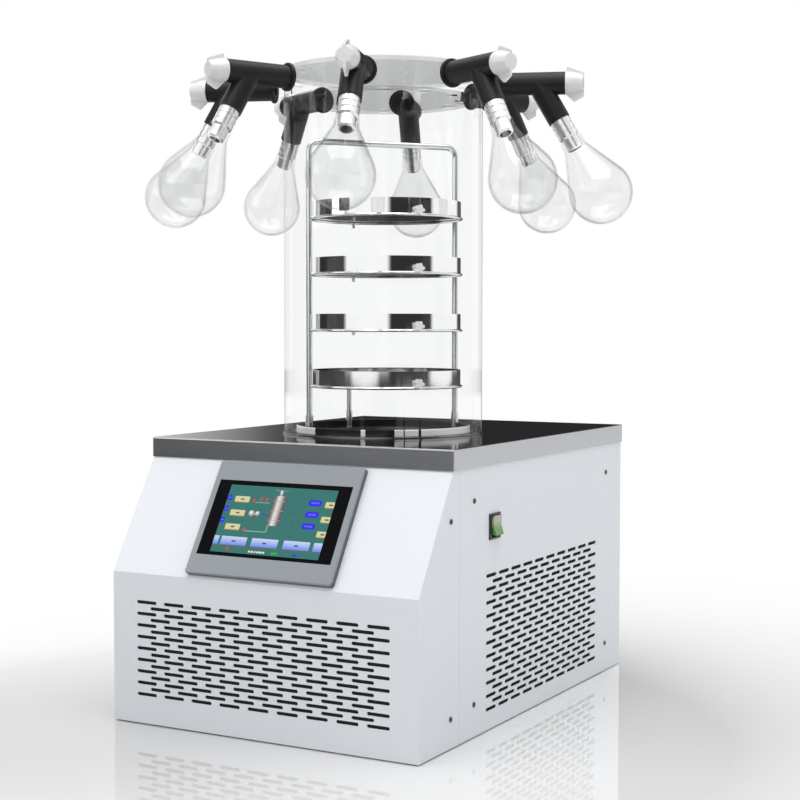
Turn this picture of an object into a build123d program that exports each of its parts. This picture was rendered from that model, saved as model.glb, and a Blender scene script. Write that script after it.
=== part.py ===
"""Bench freeze dryer with a tall clear drying chamber, four trays and an eight port flask manifold.

Frame: origin on the floor under the middle of the cabinet, +X to the right along the front,
the front faces -Y, +Z up. Sizes are in millimetres.
"""
import os
from math import acos, atan2, cos, hypot, pi, radians, sin, sqrt, tan

from build123d import *

os.makedirs("parts", exist_ok=True)

# ---------------------------------------------------------------- driving dimensions
# cabinet
cabinet_width = 440.0
cabinet_depth = 630.0
deck_height = 356.3          # top face of the worktop above the floor
panel_base = 1.5             # lower edge of the panels above the floor
sheet = 1.2                  # cabinet sheet
fold_height = 191.3          # the front panel leans back above this height
slope_run = 85.6             # how far the sloping panel leans back
wing_depth = 101.8           # the front shell's side wings end here, behind the front face
rear_flange = 16.5           # side flange of the rear panel
edge_round = 1.0             # bend radius seen on the outside of folded edges
seam_gap = 0.4               # between neighbouring panels

# worktop
deck_sheet = 1.5
deck_edge_round = 2.0
skirt_height = 25.5
skirt_gap = 0.2              # worktop skirt to panel

# clearances
loose_gap = 0.3              # between curved or moving faces
slip_gap = 0.25              # around parts pushed through a cut-out

# base
pan_sheet = 1.5
pan_flange = 18.0
foot_radius = 14.0
foot_inset = 38.0
foot_rivet_radius = 3.0

# inner frame
frame_sheet = 2.0
frame_front_gap = 4.0        # behind the sloping panel at the frame's top
frame_rear_gap = 48.0        # in front of the rear face
frame_top_drop = 56.3        # below the worktop's top face
frame_rail = 18.0
post_width = 84.0
rear_post_width = 24.0
cross_bar_depth = 12.0

# front and side vents
vent_slot_length = 30.3
vent_slot_height = 4.3
vent_pitch_x = 41.8
vent_pitch_z = 7.28
vent_rows = 17
vent_columns = 9
vent_first_z = 38.5
side_slot_length = 29.5
side_slot_height = 4.6
side_vent_pitch_y = 36.6
side_vent_pitch_z = 8.325
side_vent_rows = 21
side_vent_columns = 10
side_vent_first_z = 27.0
side_vent_centre = 355.0     # behind the front face
rear_vent_rows = 9
rear_vent_columns = 5
rear_vent_first_z = 60.0
rear_vent_centre_x = 90.0

# screws
screw_head_radius = 3.4
screw_head_height = 1.3
wing_screw_back = 79.5       # behind the front face
wing_screw_heights = (36.8, 271.7)
side_screw_backs = (141.3, 570.1)
side_screw_heights = (41.5, 290.5)
rear_screw_x = 200.0
rear_screw_heights = (41.5, 290.5)

# display
bezel_width = 212.0
bezel_height = 156.0
bezel_centre_up = 82.0       # along the slope from the fold
bezel_proud = 8.0
bezel_corner = 4.0
bezel_chamfer = 1.4
glass_width = 193.5
glass_height = 102.0
glass_centre_up = 81.0
glass_thickness = 3.0
glass_recess = 0.4           # glass face below the bezel face
glass_gap = 0.25
bezel_ledge = 3.5            # ledge that carries the glass
module_depth = 17.0
module_gap = 0.6

# rocker switch
switch_back = 198.0          # behind the front face
switch_height = 254.0
switch_flange_y = 31.0
switch_flange_z = 32.5
switch_flange_thickness = 2.0
switch_body_y = 27.6
switch_body_z = 30.0
switch_body_depth = 20.0
switch_rim_chamfer = 0.6
rocker_y = 22.0
rocker_half_z = 12.5
rocker_centre_out = 5.5      # outer face above the pivot at mid height
rocker_end_out = 7.6         # outer face above the pivot at its ends
rocker_inner = 3.0
rocker_back_share = 0.6      # inner face's height against the outer face's
rocker_edge_round = 0.5
rocker_tilt = 8.0            # rest tilt in degrees, lower end out
rocker_pivot_out = -1.0      # pivot axis from the side panel's outer face
rocker_pin_radius = 1.3
rocker_pin_length = 1.6
rocker_pin_clearance = 0.06

# mains inlet on the rear panel
inlet_x = -150.0
inlet_z = 46.0
inlet_flange_x = 50.0
inlet_flange_z = 28.0
inlet_flange_thickness = 2.5
inlet_flange_round = 3.0
inlet_body_x = 30.0
inlet_body_z = 22.0
inlet_body_depth = 24.0
inlet_recess_x = 24.0
inlet_recess_z = 16.0
inlet_recess_depth = 17.0
inlet_pin_length = 9.0
inlet_pin_spacing = 7.0
inlet_pin_rise = 2.0         # outer pins above the middle
inlet_pin_drop = 3.0         # middle pin below the middle
inlet_pin_width = 2.0
inlet_pin_height = 4.0

# control board
board_x = 130.0
board_y = 110.0
board_centre_x = -130.0
board_centre_y = -240.0
board_thickness = 1.6
board_standoff = 9.0
board_post_inset = 6.0
board_post_radius = 3.0
transformer_x = 38.0
transformer_y = 32.0
transformer_rise = 30.0
relay_count = 3
relay_pitch = 18.0
relay_x = 14.0
relay_y = 18.0
relay_rise = 16.0
capacitor_radius = 9.0
connector_inset = 10.0       # connector strip's middle from the board's front edge
connector_margin = 20.0
connector_y = 9.0
connector_rise = 11.0

# chamber and cold trap, on one axis
chamber_x = 0.0
chamber_y = -8.6
trap_radius = 95.0           # inside of the cold trap
trap_wall = 1.5
trap_depth = 245.0
trap_flange = 23.0           # width of the vessel's rim on the worktop
collar_wall = 6.0
collar_height = 9.5
collar_chamfer = 0.8
trap_hole_gap = 1.0          # vessel to the hole in the worktop
trap_floor_round = 8.0
coil_tube_radius = 4.0
coil_pitch = 14.0
coil_turns = 10
coil_first_rise = 19.2       # lowest turn above the trap's bottom
coil_gap = 0.2
insulation_wall = 40.0
insulation_top_gap = 3.0

# drying chamber
cylinder_collar_gap = 6.5    # between the trap's rim and the cylinder
cylinder_wall = 10.0
gasket_thickness = 3.0
gasket_lip = 2.0
head_top = 845.0             # top face of the head above the floor
head_thickness = 6.0
baffle_drop = 41.4           # underside of the baffle plate below the head's top
baffle_thickness = 4.0
baffle_hole_radius = 7.0
baffle_hole_count = 12
baffle_hole_inset = 20.2     # hole centres inside the plate's rim

# manifold ports and valves, lengths along the valve from the cylinder outwards
port_count = 8
port_first_angle = 19.6      # plan angle of the first port, anticlockwise from +X
port_drop = 21.5             # valve axes below the head's top
stub_radius = 11.0
stub_bore = 6.0
stub_gap = 0.2
stub_length = 14.5           # cylinder to valve flange
nipple_radius = 9.0
nipple_length = 29.0         # inside the valve
valve_flange_radius = 18.5
valve_flange_thickness = 5.5
valve_flange_round = 2.2
valve_radius = 15.0
valve_length = 96.0
valve_bore = 9.3
branch_at = 60.0             # where the branch leaves the valve's axis
branch_tilt = 30.0           # degrees from vertical, pointing outwards and down
branch_length = 57.0
branch_bore = 6.5
shank_radius = 10.0
shank_length = 34.0
shank_gap = 0.2
adapter_radius = 13.5
adapter_collar = 27.0
adapter_groove = 1.2
adapter_tip_radius = 11.0
adapter_tip = 17.0
adapter_bore = 6.5
adapter_chamfer = 2.0

# valve knobs
knob_radius = 15.0
knob_face_radius = 10.3
knob_length = 24.0
knob_straight = 7.0
knob_shoulder_round = 30.0
knob_face_round = 2.5
knob_fin_thickness = 3.5
knob_fin_top = 21.3
knob_fin_top_end = 13.4
knob_fin_side = 15.3
knob_fin_beak = 25.0
knob_fin_beak_at = 11.5
knob_fin_lower_end = 18.0
knob_fin_round = 1.6
plug_radius = 9.0
plug_length = 52.0           # inside the valve
plug_bore = 5.5

# flasks, measured along the branch axis from the valve axis
flask_wall = 1.5
flask_neck_gap = 0.25        # flask neck around the adapter
flask_mouth_gap = 0.6        # flask mouth to the branch end
flask_neck_length = 34.4
flask_shoulder_radius = 25.0
flask_ball_radius = 42.0
flask_ball_drop = 110.0      # ball centre below the branch end

# tray rack
rack_angle = 51.0            # plan direction of the rack's frame
rod_radius = 4.0
rod_bend = 14.0
rack_top_rise = 390.5        # axis of the top bar above the worktop
foot_sleeve_radius = 5.2
foot_sleeve_height = 24.0
foot_collar_gap = 0.4        # sleeves to the collar
leg_radius = 3.4
leg_sleeve_radius = 4.4
leg_angle = 147.7            # plan direction of the short third leg
leg_inset = 15.3             # leg axis inside the rim of the trap
tray_shift = 12.0            # tray axis in front of the rods' plane
tray_count = 4
tray_rod_gap = 2.4           # tray rim to the rods in their plane
tray_wall = 1.0
tray_height = 21.0
tray_first_rise = 65.2       # underside of the lowest tray above the worktop
tray_pitch = 75.0
tray_bottom_round = 1.0
ring_wire_radius = 1.7
ring_overhang = 0.8          # ring wire centre outside the tray's rim
ring_tray_gap = 0.1
clip_radius = 1.7
peg_radius = 2.4
peg_length = 7.0
pull_angle = -36.7           # plan direction of the lobed pulls
pull_core_radius = 4.6
pull_lobes = 5
pull_lobe_radius = 2.4
pull_thickness = 4.0
pull_stem_radius = 2.4
pull_rise = 4.5              # pull axis above the tray's underside

# refrigeration
compressor_side_gap = 105.0  # axis to the cabinet's left face
compressor_rear_gap = 90.0   # axis to the rear face
compressor_radius = 60.0
compressor_height = 172.0
compressor_plate = 124.0
compressor_plate_thickness = 3.0
compressor_hole_inset = 12.0
grommet_radius = 9.0
grommet_height = 13.0
condenser_side_gap = 16.0    # outer face to the cabinet's right face
condenser_thickness = 36.0
condenser_rear_gap = 85.0
condenser_length = 170.0
condenser_z_low = 32.0
condenser_z_high = 188.0
condenser_end_plate = 2.0
fin_count = 17
fin_thickness = 1.0
condenser_tube_radius = 4.0
condenser_tube_rows = 5
fan_hole_radius = 70.0
fan_duct_wall = 2.0
fan_plate_inset = 12.0
fan_blade_radius = 66.5
fan_blade_width = 26.0
fan_hub_radius = 18.0
fan_hub_length = 15.0
fan_root_share = 0.8         # blade roots' radius against the hub's
fan_blade_count = 5
fan_blade_thickness = 2.0
fan_blade_pitch = 28.0
fan_shaft_radius = 3.0
fan_arm_width = 9.0
fan_arm_thickness = 3.0
fan_arm_count = 3
fan_gap = 4.0
motor_radius = 22.0
motor_length = 34.0
line_radius = 4.0

# vacuum port and drain
vacuum_drop = 40.3           # port axis below the worktop's top face
vacuum_tube_radius = 14.0
vacuum_bore = 12.5
vacuum_flange_radius = 20.0
vacuum_flange_thickness = 5.0
vacuum_reach = 18.0          # port face behind the rear panel
drain_drop = 36.0            # drain pipe axis below the trap's bottom
drain_tube_radius = 6.0
drain_bore = 4.0
drain_body_radius = 11.0
drain_body_length = 26.0
drain_spigot_radius = 5.0
drain_spigot_length = 18.0
drain_collar_thickness = 3.0
lever_length = 38.0
lever_width = 9.0
lever_thickness = 3.0
lever_hub_radius = 6.0
lever_stem_radius = 3.0
lever_stem_clearance = 0.3
lever_seat = 1.2             # metal between the stem's hole and the drain bore

# ---------------------------------------------------------------- derived places
front_y = -cabinet_depth / 2
rear_y = cabinet_depth / 2
side_x = cabinet_width / 2
shell_top = deck_height - deck_sheet
skirt_base = deck_height - skirt_height
slope_rise = skirt_base - fold_height
slope_lean = atan2(slope_run, slope_rise)
slope_back_y = front_y + slope_run
seam_y = front_y + wing_depth
rear_seam_y = rear_y - rear_flange
bend_drop = sheet * tan(slope_lean / 2)
pan_top = panel_base + pan_sheet
trap_flange_top = deck_height + trap_wall
trap_outer = trap_radius + trap_wall
trap_bottom = trap_flange_top - trap_depth
trap_flange_radius = trap_radius + trap_flange
collar_inner = trap_flange_radius - collar_wall
coil_radius = trap_outer + coil_gap + coil_tube_radius
insulation_inner = coil_radius + coil_tube_radius + loose_gap
insulation_outer = insulation_inner + insulation_wall
insulation_bottom = trap_bottom - trap_wall - insulation_wall / 2
coil_first_z = trap_bottom + coil_first_rise
coil_height = coil_pitch * coil_turns
cylinder_inner = trap_flange_radius + cylinder_collar_gap
cylinder_radius = cylinder_inner + cylinder_wall
cylinder_base = deck_height + gasket_thickness
head_base = head_top - head_thickness
baffle_height = head_top - baffle_drop
port_height = head_top - port_drop
valve_root = cylinder_radius + stub_length
valve_end = valve_root + valve_length
branch_from_axis = valve_root + branch_at
branch_angle = radians(branch_tilt)
drain_z = trap_bottom - trap_wall - drain_drop
vacuum_height = deck_height - vacuum_drop
compressor_x = -side_x + compressor_side_gap
compressor_y = rear_y - compressor_rear_gap
condenser_x = side_x - condenser_side_gap - condenser_thickness
condenser_y_high = rear_y - condenser_rear_gap
condenser_y_low = condenser_y_high - condenser_length
fan_y = (condenser_y_low + condenser_y_high) / 2
fan_z = (condenser_z_low + condenser_z_high) / 2
fan_plate_x = condenser_x - fan_duct_wall
fan_hub_x = condenser_x - fan_gap - fan_hub_length
fan_arm_x = fan_hub_x - fan_gap - fan_arm_thickness
motor_x = fan_arm_x - motor_length
rod_offset = collar_inner - foot_collar_gap - foot_sleeve_radius
tray_radius = rod_offset - rod_radius - tray_rod_gap
ring_radius = tray_radius + ring_overhang
rack_top = deck_height + rack_top_rise
tray_first_z = deck_height + tray_first_rise
tray_x = chamber_x + tray_shift * cos(radians(rack_angle - 90))
tray_y = chamber_y + tray_shift * sin(radians(rack_angle - 90))

slope_plane = Plane(
    origin=(0, front_y, fold_height), x_dir=(1, 0, 0), z_dir=(0, -cos(slope_lean), sin(slope_lean))
)
rack_plane = Plane(
    origin=(chamber_x, chamber_y, 0),
    x_dir=(cos(radians(rack_angle)), sin(radians(rack_angle)), 0),
    z_dir=(sin(radians(rack_angle)), -cos(radians(rack_angle)), 0),
)


def save(part, name):
    """Label a finished piece and write it under its node name."""
    part.label = name
    export_step(part, f"parts/{name}.step")


def chamber_plane(height):
    """Horizontal plane centred on the chamber axis."""
    return Plane(origin=(chamber_x, chamber_y, height), z_dir=(0, 0, 1))


def valve_plane(index):
    """Upright plane through port `index`: x runs outwards along the valve axis, y runs up."""
    turn = radians(port_first_angle + index * 360 / port_count)
    return Plane(
        origin=(chamber_x, chamber_y, port_height),
        x_dir=(cos(turn), sin(turn), 0),
        z_dir=(sin(turn), -cos(turn), 0),
    )


def valve_axis(index):
    """Line along the valve's radial tube."""
    plane = valve_plane(index)
    return Axis(plane.origin, plane.x_dir)


def branch_plane(index):
    """Plane of the branch: x is the radius from the branch axis, y runs down along it."""
    plane = valve_plane(index)
    start = plane.from_local_coords((branch_from_axis, 0, 0))
    down = plane.x_dir * sin(branch_angle) - plane.y_dir * cos(branch_angle)
    across = down.cross(plane.z_dir)
    return Plane(origin=start, x_dir=across, z_dir=across.cross(down))


def branch_axis(index):
    """Line along the valve's branch."""
    plane = branch_plane(index)
    return Axis(plane.origin, plane.y_dir)


def block_profile(plane, x_low, x_high, y_low, y_high):
    """Rectangle between two corners on a plane, ready to be revolved or extruded."""
    with BuildSketch(plane) as profile:
        with Locations(((x_low + x_high) / 2, (y_low + y_high) / 2)):
            Rectangle(x_high - x_low, y_high - y_low)
    return profile.sketch


def slot_pattern(columns, rows, pitch_x, pitch_y, first_y, length, height):
    """Full rows and half-shifted rows of round-ended slots, drawn in the open sketch."""
    spots = []
    for row in range(rows):
        shifted = row % 2
        count = columns - shifted
        start = -(count - 1) * pitch_x / 2
        spots += [(start + column * pitch_x, first_y + row * pitch_y) for column in range(count)]
    with Locations(*spots):
        SlotOverall(length, height)


# ---------------------------------------------------------------- base pan and feet
pan_x = side_x - sheet - skirt_gap
pan_y = rear_y - sheet - skirt_gap
foot_spots = [
    (sx * (side_x - foot_inset), sy * (rear_y - foot_inset)) for sx in (-1, 1) for sy in (-1, 1)
]
with BuildPart() as base_pan:
    with BuildSketch(Plane.XY.offset(panel_base)):
        Rectangle(2 * pan_x, 2 * pan_y)
    extrude(amount=pan_flange)
    with BuildSketch(Plane.XY.offset(pan_top)):
        Rectangle(2 * (pan_x - pan_sheet), 2 * (pan_y - pan_sheet))
    extrude(amount=pan_flange, mode=Mode.SUBTRACT)
    with BuildSketch(Plane.XY.offset(panel_base)):
        with Locations(*foot_spots):
            Circle(foot_rivet_radius + slip_gap)
    extrude(amount=pan_sheet, mode=Mode.SUBTRACT)
save(base_pan.part, "base_pan")

with BuildPart() as rubber_feet:
    with BuildSketch():
        with Locations(*foot_spots):
            Circle(foot_radius)
    extrude(amount=panel_base)
    with BuildSketch(Plane.XY.offset(panel_base)):
        with Locations(*foot_spots):
            Circle(foot_rivet_radius)
    extrude(amount=pan_sheet)
    with BuildSketch(Plane.XY.offset(pan_top)):
        with Locations(*foot_spots):
            Circle(foot_rivet_radius + panel_base)
    extrude(amount=panel_base)
save(rubber_feet.part, "rubber_feet")

# ---------------------------------------------------------------- front shell
with BuildPart() as front_shell:
    with BuildSketch(Plane.YZ.offset(-side_x)):
        with BuildLine():
            Polyline(
                (front_y, panel_base),
                (front_y, fold_height),
                (slope_back_y, skirt_base),
                (slope_back_y, shell_top),
                (seam_y, shell_top),
                (seam_y, panel_base),
                close=True,
            )
        make_face()
    extrude(amount=cabinet_width)
    folded = front_shell.edges().filter_by(lambda edge: edge.center().Y < slope_back_y - 1)
    fillet(folded.filter_by(lambda edge: edge.center().Z > panel_base + 1), edge_round)
    with BuildSketch(Plane.YZ.offset(-side_x + sheet)):
        with BuildLine():
            Polyline(
                (front_y + sheet, panel_base),
                (front_y + sheet, fold_height - bend_drop),
                (slope_back_y + sheet, skirt_base - bend_drop),
                (slope_back_y + sheet, shell_top),
                (seam_y, shell_top),
                (seam_y, panel_base),
                close=True,
            )
        make_face()
    extrude(amount=cabinet_width - 2 * sheet, mode=Mode.SUBTRACT)
    with BuildSketch(slope_plane.offset(-4 * sheet)):
        with Locations((0, glass_centre_up)):
            Rectangle(glass_width - 2 * bezel_ledge, glass_height - 2 * bezel_ledge)
    extrude(amount=6 * sheet, mode=Mode.SUBTRACT)
    with BuildSketch(Plane.XZ.offset(-front_y - 2 * sheet)):
        slot_pattern(
            vent_columns, vent_rows, vent_pitch_x, vent_pitch_z, vent_first_z,
            vent_slot_length, vent_slot_height,
        )
    extrude(amount=3 * sheet, mode=Mode.SUBTRACT)
save(front_shell.part, "front_shell")

# ---------------------------------------------------------------- side panels
side_vent_y = front_y + side_vent_centre
switch_y = front_y + switch_back


def side_plane(side, inward):
    """Plane against a side panel, `inward` from its outer face: x runs back, y runs up."""
    return Plane(
        origin=(side * (side_x - inward), side_vent_y, 0), x_dir=(0, 1, 0), z_dir=(1, 0, 0)
    )


def make_side_panel(side, with_switch):
    """Flat panel between the front shell and the rear panel, with its vent slots."""
    with BuildPart() as panel:
        with BuildSketch(Plane.YZ.offset(side_x - sheet if side > 0 else -side_x)):
            with Locations(((seam_y + rear_seam_y) / 2, (panel_base + shell_top) / 2)):
                Rectangle(rear_seam_y - seam_y - 2 * seam_gap, shell_top - panel_base)
        extrude(amount=sheet)
        with BuildSketch(side_plane(side, sheet / 2).offset(-sheet)):
            slot_pattern(
                side_vent_columns, side_vent_rows, side_vent_pitch_y, side_vent_pitch_z,
                side_vent_first_z, side_slot_length, side_slot_height,
            )
        extrude(amount=2 * sheet, mode=Mode.SUBTRACT)
        if with_switch:
            with BuildSketch(Plane.YZ.offset(side_x - 2 * sheet)):
                with Locations((switch_y, switch_height)):
                    Rectangle(switch_body_y + 2 * slip_gap, switch_body_z + 2 * slip_gap)
            extrude(amount=3 * sheet, mode=Mode.SUBTRACT)
        else:
            with BuildSketch(Plane.YZ.offset(-side_x - sheet)):
                with Locations((chamber_y, drain_z)):
                    Circle(drain_tube_radius + slip_gap)
            extrude(amount=3 * sheet, mode=Mode.SUBTRACT)
    return panel.part


save(make_side_panel(-1, with_switch=False), "side_panel_left")
save(make_side_panel(1, with_switch=True), "side_panel_right")

# ---------------------------------------------------------------- rear panel
with BuildPart() as rear_panel:
    with BuildSketch(Plane.XY.offset(panel_base)):
        with Locations((0, (rear_y + rear_seam_y) / 2)):
            Rectangle(cabinet_width, rear_flange)
    extrude(amount=shell_top - panel_base)
    upright = rear_panel.edges().filter_by(Axis.Z).group_by(Axis.Y)[-1]
    fillet(upright, edge_round)
    with BuildSketch(Plane.XY.offset(panel_base)):
        with Locations((0, (rear_y + rear_seam_y) / 2 - sheet)):
            Rectangle(cabinet_width - 2 * sheet, rear_flange)
    extrude(amount=shell_top - panel_base, mode=Mode.SUBTRACT)
    with BuildSketch(Plane.XZ.offset(-rear_y - sheet)):
        with Locations((inlet_x, inlet_z)):
            Rectangle(inlet_body_x + 2 * slip_gap, inlet_body_z + 2 * slip_gap)
        with Locations((chamber_x, vacuum_height)):
            Circle(vacuum_tube_radius + slip_gap)
    extrude(amount=3 * sheet, mode=Mode.SUBTRACT)
    with BuildSketch(Plane(origin=(rear_vent_centre_x, rear_y + sheet, 0), z_dir=(0, -1, 0),
                           x_dir=(1, 0, 0))):
        slot_pattern(
            rear_vent_columns, rear_vent_rows, side_vent_pitch_y, 2 * side_vent_pitch_z,
            rear_vent_first_z, side_slot_length, side_slot_height,
        )
    extrude(amount=3 * sheet, mode=Mode.SUBTRACT)
save(rear_panel.part, "rear_panel")

# ---------------------------------------------------------------- inner frame
frame_top = deck_height - frame_top_drop
frame_start_y = front_y + slope_run * (frame_top - fold_height) / slope_rise + frame_front_gap
frame_end_y = rear_y - frame_rear_gap
frame_base = pan_top
cross_bar_ys = (
    chamber_y - insulation_outer - 2 * cross_bar_depth,
    frame_end_y - cross_bar_depth / 2 - frame_sheet,
)
frame_low_x = pan_x - pan_sheet - frame_sheet
with BuildPart() as inner_frame:
    for side_start in (frame_low_x, -frame_low_x - frame_sheet):
        with BuildSketch(Plane.YZ.offset(side_start)):
            with Locations(((frame_start_y + frame_end_y) / 2, (frame_base + frame_top) / 2)):
                Rectangle(frame_end_y - frame_start_y, frame_top - frame_base)
            window_start = frame_start_y + post_width
            window_end = frame_end_y - rear_post_width
            window_low = frame_base + frame_rail
            window_high = frame_top - frame_rail
            with Locations(((window_start + window_end) / 2, (window_low + window_high) / 2)):
                Rectangle(window_end - window_start, window_high - window_low, mode=Mode.SUBTRACT)
        extrude(amount=frame_sheet)
    for bar_y in cross_bar_ys:
        with BuildSketch(Plane.YZ.offset(-frame_low_x)):
            with Locations((bar_y, frame_top - frame_rail / 2)):
                Rectangle(cross_bar_depth, frame_rail)
        extrude(amount=2 * frame_low_x)
save(inner_frame.part, "inner_frame")

# ---------------------------------------------------------------- panel screws
screw_spots = [(front_y + wing_screw_back, height) for height in wing_screw_heights]
screw_spots += [
    (front_y + back, height) for back in side_screw_backs for height in side_screw_heights
]
rear_screw_spots = [(sx * rear_screw_x, height) for sx in (-1, 1) for height in rear_screw_heights]
with BuildPart() as panel_screws:
    for side in (-1, 1):
        face = Plane(origin=(side * side_x, 0, 0), x_dir=(0, 1, 0), z_dir=(1, 0, 0))
        with BuildSketch(face):
            with Locations(*screw_spots):
                Circle(screw_head_radius)
        extrude(amount=side * screw_head_height)
    with BuildSketch(Plane(origin=(0, rear_y, 0), x_dir=(1, 0, 0), z_dir=(0, -1, 0))):
        with Locations(*rear_screw_spots):
            Circle(screw_head_radius)
    extrude(amount=-screw_head_height)
    outer_rims = panel_screws.edges().filter_by(GeomType.CIRCLE)
    outer_rims = outer_rims.filter_by(
        lambda edge: abs(edge.center().X) > side_x + screw_head_height / 2
        or edge.center().Y > rear_y + screw_head_height / 2
    )
    chamfer(outer_rims, screw_head_height / 2)
save(panel_screws.part, "panel_screws")

# ---------------------------------------------------------------- worktop
deck_x = side_x + skirt_gap + deck_sheet
deck_front_y = slope_back_y - skirt_gap - deck_sheet
deck_rear_y = rear_y + skirt_gap + deck_sheet
deck_length = deck_rear_y - deck_front_y
deck_middle_y = (deck_rear_y + deck_front_y) / 2
trap_hole_radius = trap_outer + trap_hole_gap
with BuildPart() as worktop:
    with BuildSketch(Plane.XY.offset(skirt_base)):
        with Locations((0, deck_middle_y)):
            Rectangle(2 * deck_x, deck_length)
    extrude(amount=skirt_height)
    fillet(worktop.edges().filter_by(Axis.Z), deck_edge_round)
    fillet(worktop.faces().sort_by(Axis.Z)[-1].edges(), deck_edge_round)
    with BuildSketch(Plane.XY.offset(skirt_base)):
        with Locations((0, deck_middle_y)):
            Rectangle(2 * (deck_x - deck_sheet), deck_length - 2 * deck_sheet)
    extrude(amount=skirt_height - deck_sheet, mode=Mode.SUBTRACT)
    with BuildSketch(chamber_plane(skirt_base)):
        Circle(trap_hole_radius)
    extrude(amount=2 * skirt_height, mode=Mode.SUBTRACT)
save(worktop.part, "worktop")

# ---------------------------------------------------------------- display on the slope
glass_bottom = bezel_proud - glass_recess - glass_thickness
with BuildPart() as display_bezel:
    with BuildSketch(slope_plane):
        with Locations((0, bezel_centre_up)):
            RectangleRounded(bezel_width, bezel_height, bezel_corner)
    extrude(amount=bezel_proud)
    front_face = display_bezel.faces().sort_by(Axis(slope_plane.origin, slope_plane.z_dir))[-1]
    chamfer(front_face.edges(), bezel_chamfer)
    with BuildSketch(slope_plane.offset(glass_bottom)):
        with Locations((0, glass_centre_up)):
            Rectangle(glass_width + 2 * glass_gap, glass_height + 2 * glass_gap)
    extrude(amount=bezel_proud, mode=Mode.SUBTRACT)
    with BuildSketch(slope_plane):
        with Locations((0, glass_centre_up)):
            Rectangle(glass_width - 2 * bezel_ledge, glass_height - 2 * bezel_ledge)
    extrude(amount=bezel_proud, mode=Mode.SUBTRACT)
save(display_bezel.part, "display_bezel")

with BuildPart() as display_glass:
    with BuildSketch(slope_plane.offset(glass_bottom)):
        with Locations((0, glass_centre_up)):
            Rectangle(glass_width, glass_height)
    extrude(amount=glass_thickness)
save(display_glass.part, "display_glass")

module_width = glass_width - 2 * (bezel_ledge + module_gap)
module_height = glass_height - 2 * (bezel_ledge + module_gap)
with BuildPart() as display_module:
    with BuildSketch(slope_plane.offset(glass_bottom)):
        with Locations((0, glass_centre_up)):
            Rectangle(module_width, module_height)
    extrude(amount=-module_depth)
save(display_module.part, "display_module")

# ---------------------------------------------------------------- rocker switch
pivot_x = side_x + rocker_pivot_out
switch_plane = Plane.YZ.offset(side_x)
rocker_reach = hypot(rocker_end_out, rocker_half_z)
cavity_half_z = rocker_reach * sin(atan2(rocker_half_z, rocker_end_out) + radians(rocker_tilt))
with BuildPart() as switch_body:
    with BuildSketch(switch_plane):
        with Locations((switch_y, switch_height)):
            RectangleRounded(switch_flange_y, switch_flange_z, 1)
    extrude(amount=switch_flange_thickness)
    chamfer(switch_body.faces().sort_by(Axis.X)[-1].edges(), switch_rim_chamfer)
    with BuildSketch(switch_plane):
        with Locations((switch_y, switch_height)):
            Rectangle(switch_body_y, switch_body_z)
    extrude(amount=-switch_body_depth)
    with BuildSketch(switch_plane.offset(switch_flange_thickness)):
        with Locations((switch_y, switch_height)):
            Rectangle(rocker_y + 2 * loose_gap, 2 * (cavity_half_z + loose_gap))
    extrude(amount=-switch_body_depth + 2 * sheet, mode=Mode.SUBTRACT)
    with BuildSketch(Plane(origin=(pivot_x, switch_y, switch_height), x_dir=(1, 0, 0),
                           z_dir=(0, 1, 0))):
        Circle(rocker_pin_radius + rocker_pin_clearance)
    extrude(amount=rocker_y / 2 + loose_gap + rocker_pin_length, both=True, mode=Mode.SUBTRACT)
save(switch_body.part, "switch_body")

with BuildPart() as switch_rocker:
    rocker_plane = Plane(
        origin=(pivot_x, switch_y, switch_height),
        x_dir=(cos(radians(rocker_tilt)), 0, sin(radians(rocker_tilt))),
        z_dir=(0, -1, 0),
    )
    with BuildSketch(rocker_plane):
        with BuildLine():
            Polyline(
                (rocker_end_out, -rocker_half_z),
                (rocker_centre_out, 0),
                (rocker_end_out, rocker_half_z),
                (-rocker_inner, rocker_half_z * rocker_back_share),
                (-rocker_inner, -rocker_half_z * rocker_back_share),
                close=True,
            )
        make_face()
    extrude(amount=rocker_y / 2, both=True)
    fillet(switch_rocker.edges().filter_by(Axis.Y).group_by(Axis.X)[-1], rocker_edge_round)
    with BuildSketch(rocker_plane):
        Circle(rocker_pin_radius)
    extrude(amount=rocker_y / 2 + rocker_pin_length, both=True)
save(switch_rocker.part, "switch_rocker")

# ---------------------------------------------------------------- mains inlet
inlet_plane = Plane(origin=(inlet_x, rear_y, inlet_z), x_dir=(-1, 0, 0), z_dir=(0, 1, 0))
with BuildPart() as power_inlet:
    with BuildSketch(inlet_plane):
        RectangleRounded(inlet_flange_x, inlet_flange_z, inlet_flange_round)
    extrude(amount=inlet_flange_thickness)
    with BuildSketch(inlet_plane):
        Rectangle(inlet_body_x, inlet_body_z)
    extrude(amount=-inlet_body_depth)
    with BuildSketch(inlet_plane.offset(inlet_flange_thickness)):
        Rectangle(inlet_recess_x, inlet_recess_z)
    extrude(amount=-inlet_recess_depth, mode=Mode.SUBTRACT)
    with BuildSketch(inlet_plane.offset(inlet_flange_thickness - inlet_recess_depth)):
        with Locations(
            (-inlet_pin_spacing, inlet_pin_rise),
            (0, -inlet_pin_drop),
            (inlet_pin_spacing, inlet_pin_rise),
        ):
            Rectangle(inlet_pin_width, inlet_pin_height)
    extrude(amount=inlet_pin_length)
save(power_inlet.part, "power_inlet")

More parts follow.
